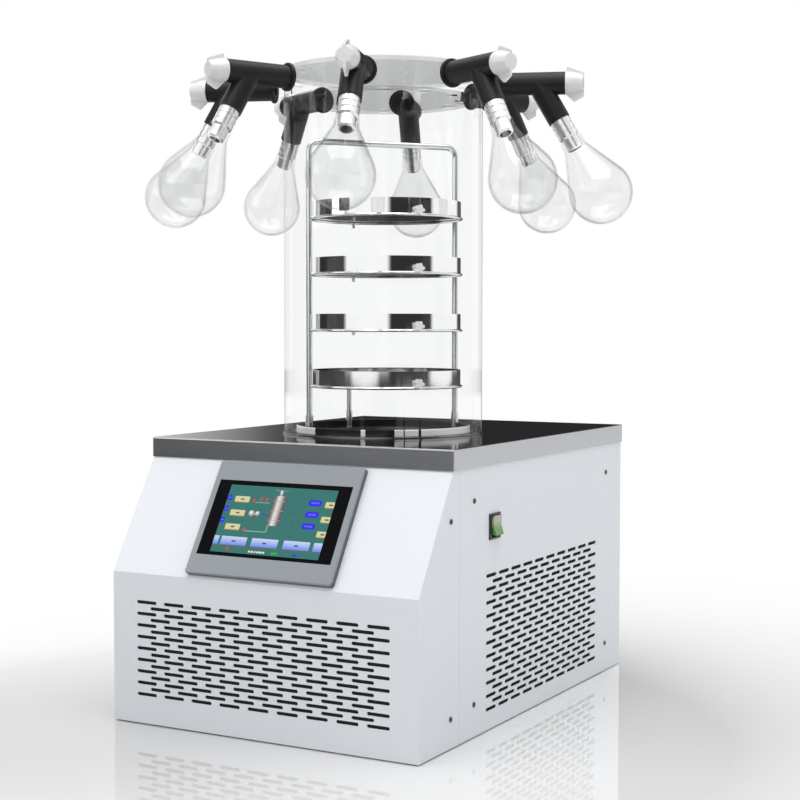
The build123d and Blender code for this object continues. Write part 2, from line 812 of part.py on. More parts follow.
# ---------------------------------------------------------------- control board
board_plane = Plane(origin=(board_centre_x, board_centre_y, pan_top), z_dir=(0, 0, 1))
board_top = board_standoff + board_thickness
with BuildPart() as control_board:
    with BuildSketch(board_plane.offset(board_standoff)):
        Rectangle(board_x, board_y)
    extrude(amount=board_thickness)
    with BuildSketch(board_plane):
        with GridLocations(board_x - 2 * board_post_inset, board_y - 2 * board_post_inset, 2, 2):
            Circle(board_post_radius)
    extrude(amount=board_standoff)
    with BuildSketch(board_plane.offset(board_top)):
        with Locations((-board_x / 4, board_y / 5)):
            Rectangle(transformer_x, transformer_y)
    extrude(amount=transformer_rise)
    with BuildSketch(board_plane.offset(board_top)):
        with GridLocations(relay_pitch, 0, relay_count, 1):
            Rectangle(relay_x, relay_y)
        with Locations((board_x / 3, board_y / 4)):
            Circle(capacitor_radius)
    extrude(amount=relay_rise)
    with BuildSketch(board_plane.offset(board_top)):
        with Locations((0, -board_y / 2 + connector_inset)):
            Rectangle(board_x - 2 * connector_margin, connector_y)
    extrude(amount=connector_rise)
save(control_board.part, "control_board")

# ---------------------------------------------------------------- cold trap
with BuildPart() as trap_vessel:
    with BuildSketch(chamber_plane(deck_height)):
        Circle(trap_flange_radius)
    extrude(amount=trap_wall)
    with BuildSketch(chamber_plane(trap_bottom - trap_wall)):
        Circle(trap_outer)
    extrude(amount=trap_flange_top - trap_bottom)
    with BuildSketch(chamber_plane(trap_bottom)):
        Circle(trap_radius)
    extrude(amount=trap_depth, mode=Mode.SUBTRACT)
    floor_rims = trap_vessel.edges().filter_by(GeomType.CIRCLE).group_by(Axis.Z)
    fillet(floor_rims[1], trap_floor_round)
    fillet(trap_vessel.edges().group_by(Axis.Z)[0], trap_floor_round + trap_wall)
    with BuildSketch(Plane.XZ.offset(-chamber_y)):
        with Locations((chamber_x, vacuum_height)):
            Circle(vacuum_bore)
    extrude(amount=-2 * trap_radius, mode=Mode.SUBTRACT)
    with BuildSketch(chamber_plane(trap_bottom + trap_wall)):
        Circle(drain_bore)
    extrude(amount=-3 * trap_wall, mode=Mode.SUBTRACT)
save(trap_vessel.part, "trap_vessel")

with BuildPart() as trap_collar:
    with BuildSketch(Plane.XZ.offset(-chamber_y)):
        with BuildLine():
            Polyline(
                (chamber_x + collar_inner, trap_flange_top),
                (chamber_x + trap_flange_radius, trap_flange_top),
                (chamber_x + trap_flange_radius, trap_flange_top + collar_height),
                (chamber_x + collar_inner, trap_flange_top + collar_height),
                close=True,
            )
        make_face()
    revolve(axis=Axis((chamber_x, chamber_y, 0), (0, 0, 1)))
    chamfer(trap_collar.faces().sort_by(Axis.Z)[-1].edges(), collar_chamfer)
save(trap_collar.part, "trap_collar")

# ---------------------------------------------------------------- evaporator coil and insulation
with BuildPart() as evaporator_coil:
    with BuildLine() as coil_path:
        Helix(
            pitch=coil_pitch,
            height=coil_height,
            radius=coil_radius,
            center=(chamber_x, chamber_y, coil_first_z),
        )
    with BuildSketch(Plane(origin=coil_path.line @ 0, z_dir=coil_path.line % 0)):
        Circle(coil_tube_radius)
    sweep(is_frenet=True)
save(evaporator_coil.part, "evaporator_coil")

insulation_top = shell_top - insulation_top_gap
suction_angle = atan2(compressor_y - chamber_y, compressor_x - chamber_x)
suction_plane = Plane(
    origin=(chamber_x, chamber_y, coil_first_z),
    z_dir=(cos(suction_angle), sin(suction_angle), 0),
)
liquid_z = coil_first_z + coil_height
liquid_plane = Plane(origin=(chamber_x, chamber_y, liquid_z), z_dir=(1, 0, 0))
with BuildPart() as trap_insulation:
    with BuildSketch(chamber_plane(insulation_bottom)):
        Circle(insulation_outer)
    extrude(amount=insulation_top - insulation_bottom)
    with BuildSketch(chamber_plane(trap_bottom - trap_wall - loose_gap)):
        Circle(insulation_inner)
    extrude(amount=insulation_top, mode=Mode.SUBTRACT)
    with BuildSketch(chamber_plane(insulation_bottom)):
        Circle(drain_tube_radius + loose_gap)
    extrude(amount=insulation_wall, mode=Mode.SUBTRACT)
    with BuildSketch(Plane.XZ.offset(-chamber_y)):
        with Locations((chamber_x, vacuum_height)):
            Circle(vacuum_tube_radius + loose_gap)
    extrude(amount=-2 * insulation_outer, mode=Mode.SUBTRACT)
    with BuildSketch(suction_plane, liquid_plane):
        Circle(line_radius + loose_gap)
    extrude(amount=2 * insulation_outer, mode=Mode.SUBTRACT)
save(trap_insulation.part, "trap_insulation")

# ---------------------------------------------------------------- compressor
can_base = pan_top + grommet_height + compressor_plate_thickness
compressor_plane = Plane(origin=(compressor_x, compressor_y, 0), z_dir=(0, 0, 1))
hole_spacing = compressor_plate - 2 * compressor_hole_inset
with BuildPart() as compressor:
    with BuildSketch(compressor_plane.offset(can_base)):
        Circle(compressor_radius)
    extrude(amount=compressor_height)
    can_top = compressor.edges().filter_by(GeomType.CIRCLE).group_by(Axis.Z)[-1]
    fillet(can_top, compressor_radius / 3)
    with BuildSketch(compressor_plane.offset(can_base - compressor_plate_thickness)):
        RectangleRounded(compressor_plate, compressor_plate, compressor_hole_inset / 2)
        with GridLocations(hole_spacing, hole_spacing, 2, 2):
            Circle(grommet_radius / 2 + loose_gap, mode=Mode.SUBTRACT)
    extrude(amount=compressor_plate_thickness)
save(compressor.part, "compressor")

with BuildPart() as compressor_grommets:
    with BuildSketch(compressor_plane.offset(pan_top)):
        with GridLocations(hole_spacing, hole_spacing, 2, 2):
            Circle(grommet_radius)
    extrude(amount=grommet_height)
    with BuildSketch(compressor_plane.offset(pan_top + grommet_height)):
        with GridLocations(hole_spacing, hole_spacing, 2, 2):
            Circle(grommet_radius / 2)
    extrude(amount=2 * compressor_plate_thickness)
save(compressor_grommets.part, "compressor_grommets")

# ---------------------------------------------------------------- condenser
condenser_middle_x = condenser_x + condenser_thickness / 2
fin_pitch = (condenser_length - condenser_end_plate) / (fin_count + 1)
tube_pitch = (condenser_z_high - condenser_z_low) / condenser_tube_rows
with BuildPart() as condenser:
    for fin in range(1, fin_count + 1):
        with BuildSketch(Plane.XZ.offset(-condenser_y_low - fin * fin_pitch)):
            with Locations((condenser_middle_x, fan_z)):
                Rectangle(condenser_thickness, condenser_z_high - condenser_z_low)
        extrude(amount=-fin_thickness)
    for end_y in (condenser_y_low, condenser_y_high - condenser_end_plate):
        with BuildSketch(Plane.XZ.offset(-end_y)):
            with Locations((condenser_middle_x, (condenser_z_high + pan_top) / 2)):
                Rectangle(condenser_thickness, condenser_z_high - pan_top)
        extrude(amount=-condenser_end_plate)
    with BuildSketch(Plane.XZ.offset(-condenser_y_low)):
        with Locations((condenser_middle_x, fan_z)):
            with GridLocations(condenser_thickness / 2, tube_pitch, 2, condenser_tube_rows):
                Circle(condenser_tube_radius)
    extrude(amount=-condenser_length)
save(condenser.part, "condenser")


# ---------------------------------------------------------------- condenser fan
def fan_plane(x):
    """Upright plane across the fan's axis: x runs back, y runs up."""
    return Plane(origin=(x, fan_y, fan_z), x_dir=(0, 1, 0), z_dir=(1, 0, 0))


with BuildPart() as fan_shroud:
    with BuildSketch(fan_plane(fan_plate_x)):
        Rectangle(condenser_length - 2 * fan_plate_inset, condenser_z_high - condenser_z_low)
        Circle(fan_hole_radius, mode=Mode.SUBTRACT)
    extrude(amount=fan_duct_wall)
    with BuildSketch(fan_plane(fan_arm_x)):
        Circle(fan_hole_radius + fan_duct_wall)
        Circle(fan_hole_radius, mode=Mode.SUBTRACT)
    extrude(amount=fan_plate_x - fan_arm_x)
    with BuildSketch(fan_plane(fan_arm_x)):
        Circle(motor_radius)
        with PolarLocations(0, fan_arm_count, start_angle=90):
            with Locations((fan_hole_radius / 2, 0)):
                Rectangle(fan_hole_radius + fan_duct_wall, fan_arm_width)
        Circle(fan_shaft_radius + 2 * loose_gap, mode=Mode.SUBTRACT)
    extrude(amount=fan_arm_thickness)
save(fan_shroud.part, "fan_shroud")

with BuildPart() as fan_motor:
    with BuildSketch(fan_plane(motor_x)):
        Circle(motor_radius)
    extrude(amount=motor_length)
    fillet(fan_motor.edges().filter_by(GeomType.CIRCLE).group_by(Axis.X)[0], motor_radius / 6)
    with BuildSketch(fan_plane(motor_x + motor_length / 2)):
        Circle(fan_shaft_radius + loose_gap)
    extrude(amount=motor_length, mode=Mode.SUBTRACT)
save(fan_motor.part, "fan_motor")

blade_root = fan_hub_radius * fan_root_share
blade_turn = radians(fan_blade_pitch)
with BuildPart() as fan_rotor:
    with BuildSketch(fan_plane(fan_hub_x)):
        Circle(fan_hub_radius)
    extrude(amount=fan_hub_length)
    fillet(fan_rotor.edges().filter_by(GeomType.CIRCLE).group_by(Axis.X)[-1], fan_hub_radius / 6)
    for blade in range(fan_blade_count):
        turn = 2 * pi * blade / fan_blade_count
        outward = Vector(0, cos(turn), sin(turn))
        around = Vector(0, -sin(turn), cos(turn))
        blade_plane = Plane(
            origin=Vector(fan_hub_x + fan_hub_length / 2, fan_y, fan_z) + outward * blade_root,
            x_dir=Vector(sin(blade_turn), 0, 0) + around * cos(blade_turn),
            z_dir=outward,
        )
        with BuildSketch(blade_plane):
            Rectangle(fan_blade_width, fan_blade_thickness)
        extrude(amount=fan_blade_radius - blade_root)
    with BuildSketch(fan_plane(motor_x + motor_length / 2 + loose_gap)):
        Circle(fan_shaft_radius)
    extrude(amount=fan_hub_x - motor_x - motor_length / 2)
save(fan_rotor.part, "fan_rotor")

# ---------------------------------------------------------------- refrigerant lines
suction_start = coil_radius + coil_tube_radius + loose_gap
suction_end = hypot(compressor_x, compressor_y - chamber_y) - compressor_radius - loose_gap
discharge_start_x = compressor_x + compressor_radius + loose_gap
discharge_end_x = condenser_middle_x - condenser_thickness / 4 - condenser_tube_radius - loose_gap
discharge_y = condenser_y_high - condenser_end_plate - (fin_pitch - fin_thickness) / 2
liquid_drop_y = condenser_y_low + condenser_length / 4
with BuildPart() as refrigerant_lines:
    with BuildSketch(suction_plane.offset(suction_start)):
        Circle(line_radius)
    extrude(amount=suction_end - suction_start)
    with BuildSketch(Plane.YZ.offset(discharge_start_x)):
        with Locations((discharge_y, fan_z + tube_pitch)):
            Circle(line_radius)
    extrude(amount=discharge_end_x - discharge_start_x)
    with BuildLine() as liquid_path:
        FilletPolyline(
            (chamber_x + suction_start, chamber_y, liquid_z),
            (condenser_middle_x, chamber_y, liquid_z),
            (condenser_middle_x, liquid_drop_y, liquid_z),
            (condenser_middle_x, liquid_drop_y, condenser_z_high + loose_gap),
            radius=4 * line_radius,
        )
    with BuildSketch(liquid_plane.offset(suction_start)):
        Circle(line_radius)
    sweep(path=liquid_path.line)
save(refrigerant_lines.part, "refrigerant_lines")

# ---------------------------------------------------------------- vacuum port
vacuum_start = trap_outer + loose_gap
vacuum_end_y = rear_y + vacuum_reach
with BuildPart() as vacuum_port:
    with BuildSketch(Plane.XZ.offset(-chamber_y - vacuum_start)):
        with Locations((chamber_x, vacuum_height)):
            Circle(vacuum_tube_radius)
    extrude(amount=chamber_y + vacuum_start - vacuum_end_y)
    with BuildSketch(Plane.XZ.offset(-vacuum_end_y)):
        with Locations((chamber_x, vacuum_height)):
            Circle(vacuum_flange_radius)
    extrude(amount=vacuum_flange_thickness)
    flange_front = vacuum_port.faces().filter_by(Axis.Y).sort_by(Axis.Y)[-2]
    chamfer(flange_front.outer_wire().edges(), vacuum_flange_thickness / 3)
    with BuildSketch(Plane.XZ.offset(-chamber_y)):
        with Locations((chamber_x, vacuum_height)):
            Circle(vacuum_bore)
    extrude(amount=-cabinet_depth, mode=Mode.SUBTRACT)
save(vacuum_port.part, "vacuum_port")

# ---------------------------------------------------------------- drain valve and its lever
drain_body_x = -side_x - drain_collar_thickness
drain_axis_x = drain_body_x - drain_body_length / 2
lever_z = drain_z + drain_body_radius * cos(pi / 6) + loose_gap
stem_base = drain_z + drain_bore + lever_seat
with BuildPart() as drain_valve:
    with BuildLine() as drain_path:
        FilletPolyline(
            (chamber_x, chamber_y, trap_bottom - trap_wall - loose_gap),
            (chamber_x, chamber_y, drain_z),
            (drain_body_x, chamber_y, drain_z),
            radius=2 * drain_tube_radius,
        )
    with BuildSketch(chamber_plane(trap_bottom - trap_wall - loose_gap)):
        Circle(drain_tube_radius)
    sweep(path=drain_path.line)
    with BuildSketch(Plane.YZ.offset(-side_x)):
        with Locations((chamber_y, drain_z)):
            Circle(drain_body_radius + drain_collar_thickness)
    extrude(amount=-drain_collar_thickness)
    with BuildSketch(Plane.YZ.offset(drain_body_x)):
        with Locations((chamber_y, drain_z)):
            RegularPolygon(drain_body_radius, 6)
    extrude(amount=-drain_body_length)
    with BuildSketch(Plane.YZ.offset(drain_body_x - drain_body_length)):
        with Locations((chamber_y, drain_z)):
            Circle(drain_spigot_radius)
    extrude(amount=-drain_spigot_length)
    with BuildSketch(Plane.YZ.offset(drain_body_x)):
        with Locations((chamber_y, drain_z)):
            Circle(drain_bore)
    extrude(amount=-2 * drain_body_length, mode=Mode.SUBTRACT)
    with BuildSketch(Plane(origin=(drain_axis_x, chamber_y, stem_base), z_dir=(0, 0, 1))):
        Circle(lever_stem_radius + lever_stem_clearance)
    extrude(amount=drain_body_radius, mode=Mode.SUBTRACT)
save(drain_valve.part, "drain_valve")

lever_plane = Plane(origin=(drain_axis_x, chamber_y, lever_z), z_dir=(0, 0, 1))
with BuildPart() as drain_lever:
    with BuildSketch(lever_plane):
        Circle(lever_hub_radius)
        with Locations((0, lever_length / 2 - lever_width / 2)):
            SlotOverall(lever_length, lever_width, rotation=90)
    extrude(amount=lever_thickness)
    fillet(drain_lever.faces().sort_by(Axis.Z)[-1].edges(), lever_thickness / 4)
    with BuildSketch(lever_plane):
        Circle(lever_stem_radius)
    extrude(amount=stem_base + loose_gap - lever_z)
save(drain_lever.part, "drain_lever")

# ---------------------------------------------------------------- drying chamber
with BuildPart() as chamber_gasket:
    with BuildSketch(chamber_plane(deck_height)):
        Circle(cylinder_radius + gasket_lip)
        Circle(cylinder_inner - gasket_lip, mode=Mode.SUBTRACT)
    extrude(amount=gasket_thickness)
save(chamber_gasket.part, "chamber_gasket")

port_planes = [
    Plane(origin=valve_plane(port).origin, z_dir=valve_plane(port).x_dir)
    for port in range(port_count)
]
with BuildPart() as chamber_cylinder:
    with BuildSketch(chamber_plane(cylinder_base)):
        Circle(cylinder_radius)
        Circle(cylinder_inner, mode=Mode.SUBTRACT)
    extrude(amount=head_base - cylinder_base)
    with BuildSketch(*port_planes):
        Circle(stub_radius + stub_gap)
    extrude(amount=2 * cylinder_radius, mode=Mode.SUBTRACT)
save(chamber_cylinder.part, "chamber_cylinder")

with BuildPart() as head_plate:
    with BuildSketch(chamber_plane(head_base)):
        Circle(cylinder_radius)
    extrude(amount=head_thickness)
    chamfer(head_plate.faces().sort_by(Axis.Z)[-1].edges(), head_thickness / 6)
save(head_plate.part, "head_plate")

with BuildPart() as baffle_plate:
    with BuildSketch(chamber_plane(baffle_height)):
        Circle(cylinder_inner - loose_gap)
        with PolarLocations(cylinder_inner - loose_gap - baffle_hole_inset, baffle_hole_count):
            Circle(baffle_hole_radius, mode=Mode.SUBTRACT)
    extrude(amount=baffle_thickness)
save(baffle_plate.part, "baffle_plate")

# ---------------------------------------------------------------- tray rack
drop_reach = ring_wire_radius + tray_bottom_round + ring_tray_gap
ring_drop = sqrt(drop_reach**2 - (ring_overhang + tray_bottom_round) ** 2) - tray_bottom_round
tray_bases = [tray_first_z + level * tray_pitch for level in range(tray_count)]
leg_x = chamber_x + (trap_flange_radius - leg_inset) * cos(radians(leg_angle))
leg_y = chamber_y + (trap_flange_radius - leg_inset) * sin(radians(leg_angle))
leg_direction = Vector(leg_x - tray_x, leg_y - tray_y, 0).normalized()
rod_spots = [rack_plane.from_local_coords((side * rod_offset, 0, 0)) for side in (-1, 1)]
with BuildPart() as rack_frame:
    with BuildLine(rack_plane) as rack_path:
        FilletPolyline(
            (-rod_offset, trap_flange_top),
            (-rod_offset, rack_top),
            (rod_offset, rack_top),
            (rod_offset, trap_flange_top),
            radius=rod_bend,
        )
    with BuildSketch(Plane(origin=rack_path.line @ 0, z_dir=(0, 0, 1))):
        Circle(rod_radius)
    sweep(path=rack_path.line)
    with BuildSketch(Plane.XY.offset(trap_flange_top)):
        with Locations(*[(spot.X, spot.Y) for spot in rod_spots]):
            Circle(foot_sleeve_radius)
        with Locations((leg_x, leg_y)):
            Circle(leg_sleeve_radius)
    extrude(amount=foot_sleeve_height)
    with BuildSketch(Plane.XY.offset(trap_flange_top)):
        with Locations((leg_x, leg_y)):
            Circle(leg_radius)
    extrude(amount=tray_bases[0] - ring_drop + clip_radius - trap_flange_top)
save(rack_frame.part, "rack_frame")

with BuildPart() as tray_rings:
    for tray_base in tray_bases:
        ring_z = tray_base - ring_drop
        with BuildSketch(Plane(origin=(tray_x, tray_y, ring_z), z_dir=(0, -1, 0), x_dir=(1, 0, 0))):
            with Locations((ring_radius, 0)):
                Circle(ring_wire_radius)
        revolve(axis=Axis((tray_x, tray_y, 0), (0, 0, 1)))
        for spot in rod_spots:
            reach = Vector(spot.X - tray_x, spot.Y - tray_y, 0)
            start = Vector(tray_x, tray_y, ring_z) + reach.normalized() * ring_radius
            with BuildSketch(Plane(origin=start, z_dir=reach.normalized())):
                Circle(clip_radius)
            extrude(amount=reach.length - ring_radius)
        start = Vector(tray_x, tray_y, ring_z) + leg_direction * ring_radius
        if tray_base == tray_bases[0]:
            with BuildSketch(Plane(origin=start, z_dir=leg_direction)):
                Circle(clip_radius)
            extrude(amount=hypot(leg_x - tray_x, leg_y - tray_y) - ring_radius)
        else:
            with BuildSketch(Plane(origin=start, z_dir=(0, 0, -1))):
                Circle(peg_radius)
            extrude(amount=peg_length)
    add(rack_frame.part, mode=Mode.SUBTRACT)
save(tray_rings.part, "tray_rings")

# ---------------------------------------------------------------- trays and their pulls
for level, tray_base in enumerate(tray_bases):
    tray_plane = Plane(origin=(tray_x, tray_y, tray_base), z_dir=(0, 0, 1))
    with BuildPart() as tray:
        with BuildSketch(tray_plane):
            Circle(tray_radius)
        extrude(amount=tray_height)
        fillet(tray.edges().filter_by(GeomType.CIRCLE).group_by(Axis.Z)[0], tray_bottom_round)
        with BuildSketch(tray_plane.offset(tray_wall)):
            Circle(tray_radius - tray_wall)
        extrude(amount=tray_height, mode=Mode.SUBTRACT)
    save(tray.part, f"tray_{level + 1}")

pull_turn = radians(pull_angle)
pull_direction = Vector(cos(pull_turn), sin(pull_turn), 0)
pull_start = ring_radius + ring_wire_radius + loose_gap
with BuildPart() as tray_pulls:
    for tray_base in tray_bases:
        pull_centre = Vector(tray_x, tray_y, tray_base + pull_rise)
        with BuildSketch(Plane(origin=pull_centre + pull_direction * (tray_radius + ring_tray_gap),
                               z_dir=pull_direction)):
            Circle(pull_stem_radius)
        extrude(amount=pull_start - tray_radius)
        with BuildSketch(Plane(origin=pull_centre + pull_direction * pull_start,
                               z_dir=pull_direction)):
            Circle(pull_core_radius)
            with PolarLocations(pull_core_radius, pull_lobes):
                Circle(pull_lobe_radius)
        extrude(amount=pull_thickness)
save(tray_pulls.part, "tray_pulls")

# ---------------------------------------------------------------- manifold stubs and valve bodies
shank_start = branch_length - shank_length
with BuildPart() as port_stubs:
    for port in range(port_count):
        plane = valve_plane(port)
        axis = valve_axis(port)
        stub = block_profile(plane, cylinder_inner, valve_root, 0, stub_radius)
        revolve(stub, axis=axis)
        nipple = block_profile(plane, valve_root, valve_root + nipple_length, 0, nipple_radius)
        revolve(nipple, axis=axis)
        bore = block_profile(plane, 0, valve_end, 0, stub_bore)
        revolve(bore, axis=axis, mode=Mode.SUBTRACT)
save(port_stubs.part, "port_stubs")

with BuildPart() as valve_bodies:
    for port in range(port_count):
        flange = block_profile(
            valve_plane(port),
            valve_root, valve_root + valve_flange_thickness, 0, valve_flange_radius,
        )
        revolve(flange, axis=valve_axis(port))
    fillet(valve_bodies.edges().filter_by(GeomType.CIRCLE), valve_flange_round)
    for port in range(port_count):
        plane = valve_plane(port)
        axis = valve_axis(port)
        branch = branch_plane(port)
        revolve(block_profile(plane, valve_root, valve_end, 0, valve_radius), axis=axis)
        revolve(block_profile(branch, 0, valve_radius, 0, branch_length), axis=branch_axis(port))
        throat = block_profile(plane, valve_root, valve_end, 0, valve_bore)
        revolve(throat, axis=axis, mode=Mode.SUBTRACT)
        way_out = block_profile(branch, 0, branch_bore, 0, branch_length)
        revolve(way_out, axis=branch_axis(port), mode=Mode.SUBTRACT)
        socket = block_profile(branch, 0, shank_radius + shank_gap, shank_start, branch_length)
        revolve(socket, axis=branch_axis(port), mode=Mode.SUBTRACT)
save(valve_bodies.part, "valve_bodies")

adapter_end = branch_length + adapter_collar + adapter_tip
with BuildPart() as flask_adapters:
    for port in range(port_count):
        with BuildSketch(branch_plane(port)) as adapter_profile:
            with BuildLine():
                Polyline(
                    (adapter_bore, shank_start),
                    (shank_radius, shank_start),
                    (shank_radius, branch_length),
                    (adapter_radius, branch_length),
                    (adapter_radius, adapter_end - adapter_tip - adapter_chamfer),
                    (adapter_radius - adapter_chamfer, adapter_end - adapter_tip),
                    (adapter_tip_radius, adapter_end - adapter_tip),
                    (adapter_tip_radius, adapter_end - adapter_chamfer),
                    (adapter_tip_radius - adapter_chamfer, adapter_end),
                    (adapter_bore, adapter_end),
                    close=True,
                )
            make_face()
            for share in (1 / 3, 2 / 3):
                with Locations((adapter_radius, branch_length + share * adapter_collar)):
                    Rectangle(2 * adapter_groove, 2 * adapter_groove, mode=Mode.SUBTRACT)
        revolve(axis=branch_axis(port))
save(flask_adapters.part, "flask_adapters")

# ---------------------------------------------------------------- valve knobs
knob_start = valve_end + loose_gap
knob_end = knob_start + knob_length
plug_start = valve_end - plug_length
for port in range(port_count):
    with BuildPart() as knob:
        with BuildSketch(valve_plane(port)) as knob_profile:
            with BuildLine():
                Polyline(
                    (plug_start, 0),
                    (plug_start, plug_radius),
                    (knob_start, plug_radius),
                    (knob_start, knob_radius),
                    (knob_start + knob_straight, knob_radius),
                    (knob_end, knob_face_radius),
                    (knob_end, 0),
                    close=True,
                )
            make_face()
            rims = knob_profile.vertices().filter_by(lambda rim: rim.Y > plug_radius + 1)
            fillet(rims.sort_by(Axis.X)[1], knob_shoulder_round)
            rims = knob_profile.vertices().filter_by(lambda rim: rim.Y > plug_radius + 1)
            fillet(rims.sort_by(Axis.X)[-1], knob_face_round)
        revolve(axis=valve_axis(port))
        with BuildSketch(valve_plane(port).offset(-knob_fin_thickness / 2)) as fin_profile:
            with BuildLine():
                Polyline(
                    (knob_start + 1, knob_fin_top),
                    (knob_end, knob_fin_top_end),
                    (knob_end, -knob_fin_lower_end),
                    (knob_start + knob_fin_beak_at, -knob_fin_beak),
                    (knob_start + 1, -knob_fin_side),
                    close=True,
                )
            make_face()
            fillet(fin_profile.vertices(), knob_fin_round)
        extrude(amount=knob_fin_thickness)
        with BuildSketch(Plane(origin=valve_plane(port).from_local_coords((plug_start, 0, 0)),
                               z_dir=valve_plane(port).x_dir)):
            Circle(plug_bore)
        extrude(amount=branch_from_axis - plug_start, mode=Mode.SUBTRACT)
        way_down = block_profile(branch_plane(port), 0, plug_bore, 0, 2 * plug_radius)
        revolve(way_down, axis=branch_axis(port), mode=Mode.SUBTRACT)
    save(knob.part, f"knob_{port + 1}")

# ---------------------------------------------------------------- flasks
flask_neck_radius = adapter_radius + flask_neck_gap + flask_wall
flask_mouth = branch_length + flask_mouth_gap
flask_neck_end = flask_mouth + flask_neck_length
flask_ball_centre = branch_length + flask_ball_drop
shoulder_x = flask_neck_radius + flask_shoulder_radius
shoulder_drop = flask_ball_centre - flask_neck_end
shoulder_share = (flask_ball_radius + flask_shoulder_radius) / hypot(shoulder_x, shoulder_drop)
cone_turn = atan2(shoulder_drop, shoulder_x) - acos(shoulder_share)


def on_shoulder(inset, turn):
    """Point on the curve below the neck, `turn` round from the neck's end."""
    reach = flask_shoulder_radius + inset
    return (shoulder_x - reach * cos(turn), flask_neck_end + reach * sin(turn))


def on_ball(inset, turn):
    """Point on the ball, `turn` down from its equator."""
    reach = flask_ball_radius - inset
    return (reach * cos(turn), flask_ball_centre + reach * sin(turn))


for port in range(port_count):
    with BuildPart() as flask:
        for inset, mode in ((0, Mode.ADD), (flask_wall, Mode.SUBTRACT)):
            with BuildSketch(branch_plane(port)) as flask_profile:
                with BuildLine():
                    Polyline(
                        (0, flask_ball_centre + flask_ball_radius - inset),
                        (0, flask_mouth),
                        (flask_neck_radius - inset, flask_mouth),
                        (flask_neck_radius - inset, flask_neck_end),
                    )
                    ThreePointArc(
                        (flask_neck_radius - inset, flask_neck_end),
                        on_shoulder(inset, cone_turn / 2),
                        on_shoulder(inset, cone_turn),
                    )
                    Line(on_shoulder(inset, cone_turn), on_ball(inset, -cone_turn))
                    ThreePointArc(
                        on_ball(inset, -cone_turn),
                        on_ball(inset, pi / 8),
                        (0, flask_ball_centre + flask_ball_radius - inset),
                    )
                make_face()
            revolve(axis=branch_axis(port), mode=mode)
    save(flask.part, f"flask_{port + 1}")
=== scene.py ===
"""Freeze dryer: finishes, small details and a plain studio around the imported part."""

from math import atan2, cos, radians, sin, tau

import bmesh
import bpy
from bpy.props import FloatProperty, FloatVectorProperty, PointerProperty
from bpy.types import Operator, Panel, PropertyGroup
from mathutils import Matrix, Vector


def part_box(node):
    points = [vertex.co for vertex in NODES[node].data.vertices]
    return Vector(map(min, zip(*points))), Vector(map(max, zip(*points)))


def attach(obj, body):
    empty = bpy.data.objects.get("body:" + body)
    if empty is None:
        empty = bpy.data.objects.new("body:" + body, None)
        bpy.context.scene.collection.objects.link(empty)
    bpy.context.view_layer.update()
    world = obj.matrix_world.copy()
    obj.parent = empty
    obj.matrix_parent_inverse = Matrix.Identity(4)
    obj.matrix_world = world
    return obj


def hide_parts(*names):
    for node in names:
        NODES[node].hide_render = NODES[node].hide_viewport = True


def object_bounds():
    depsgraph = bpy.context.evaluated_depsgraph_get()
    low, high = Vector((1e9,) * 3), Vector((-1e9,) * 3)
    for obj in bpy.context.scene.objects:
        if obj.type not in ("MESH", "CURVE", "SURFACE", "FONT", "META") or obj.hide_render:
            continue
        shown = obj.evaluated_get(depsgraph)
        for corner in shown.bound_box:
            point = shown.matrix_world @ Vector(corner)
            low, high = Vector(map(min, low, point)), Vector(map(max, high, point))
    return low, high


bl_info = {
    "name": "Freeze Dryer Finishes",
    "version": (1, 0, 0),
    "blender": (4, 5, 0),
    "location": "3D View > Sidebar > Freeze Dryer",
    "description": "Finishes, small details and a plain studio for a laboratory freeze dryer",
    "category": "Object",
}

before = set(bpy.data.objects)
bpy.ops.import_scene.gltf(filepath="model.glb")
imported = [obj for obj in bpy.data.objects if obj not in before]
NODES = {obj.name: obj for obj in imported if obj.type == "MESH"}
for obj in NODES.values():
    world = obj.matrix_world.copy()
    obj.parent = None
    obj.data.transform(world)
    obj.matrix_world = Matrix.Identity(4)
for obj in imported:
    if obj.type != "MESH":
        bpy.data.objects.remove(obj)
cad_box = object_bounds()
BODY = "freeze_dryer"
PORTS = range(1, 9)
BRANCH_TILT = radians(30)
NECK_START = -0.528       # along the branches' direction, from the floor under the chamber's axis
BRANCH_HEIGHT = 0.5928    # branch axes above that point, square to their direction
BORE_RADIUS = 0.0075
FIRST_PORT = radians(19.6)
HALF_PORT_STEP = tau / 16    # half the turn from one branch to the next
ADAPTER_METAL = 0.7


# ---------------------------------------------------------------- settings
def colour_setting(name, description, default):
    """A colour the user may change."""
    return FloatVectorProperty(
        name=name, description=description, subtype="COLOR", size=3, min=0, max=1, default=default
    )


def length_setting(name, description, default):
    """A length in metres the user may change."""
    return FloatProperty(
        name=name, description=description, default=default, min=0, unit="LENGTH", subtype="DISTANCE"
    )


def angle_setting(name, description, degrees):
    """An angle the user may change."""
    return FloatProperty(
        name=name, description=description, default=radians(degrees), subtype="ANGLE"
    )


def power_setting(name, description, default):
    """A lamp's power that the user may change."""
    return FloatProperty(name=name, description=description, default=default, min=0, unit="POWER")


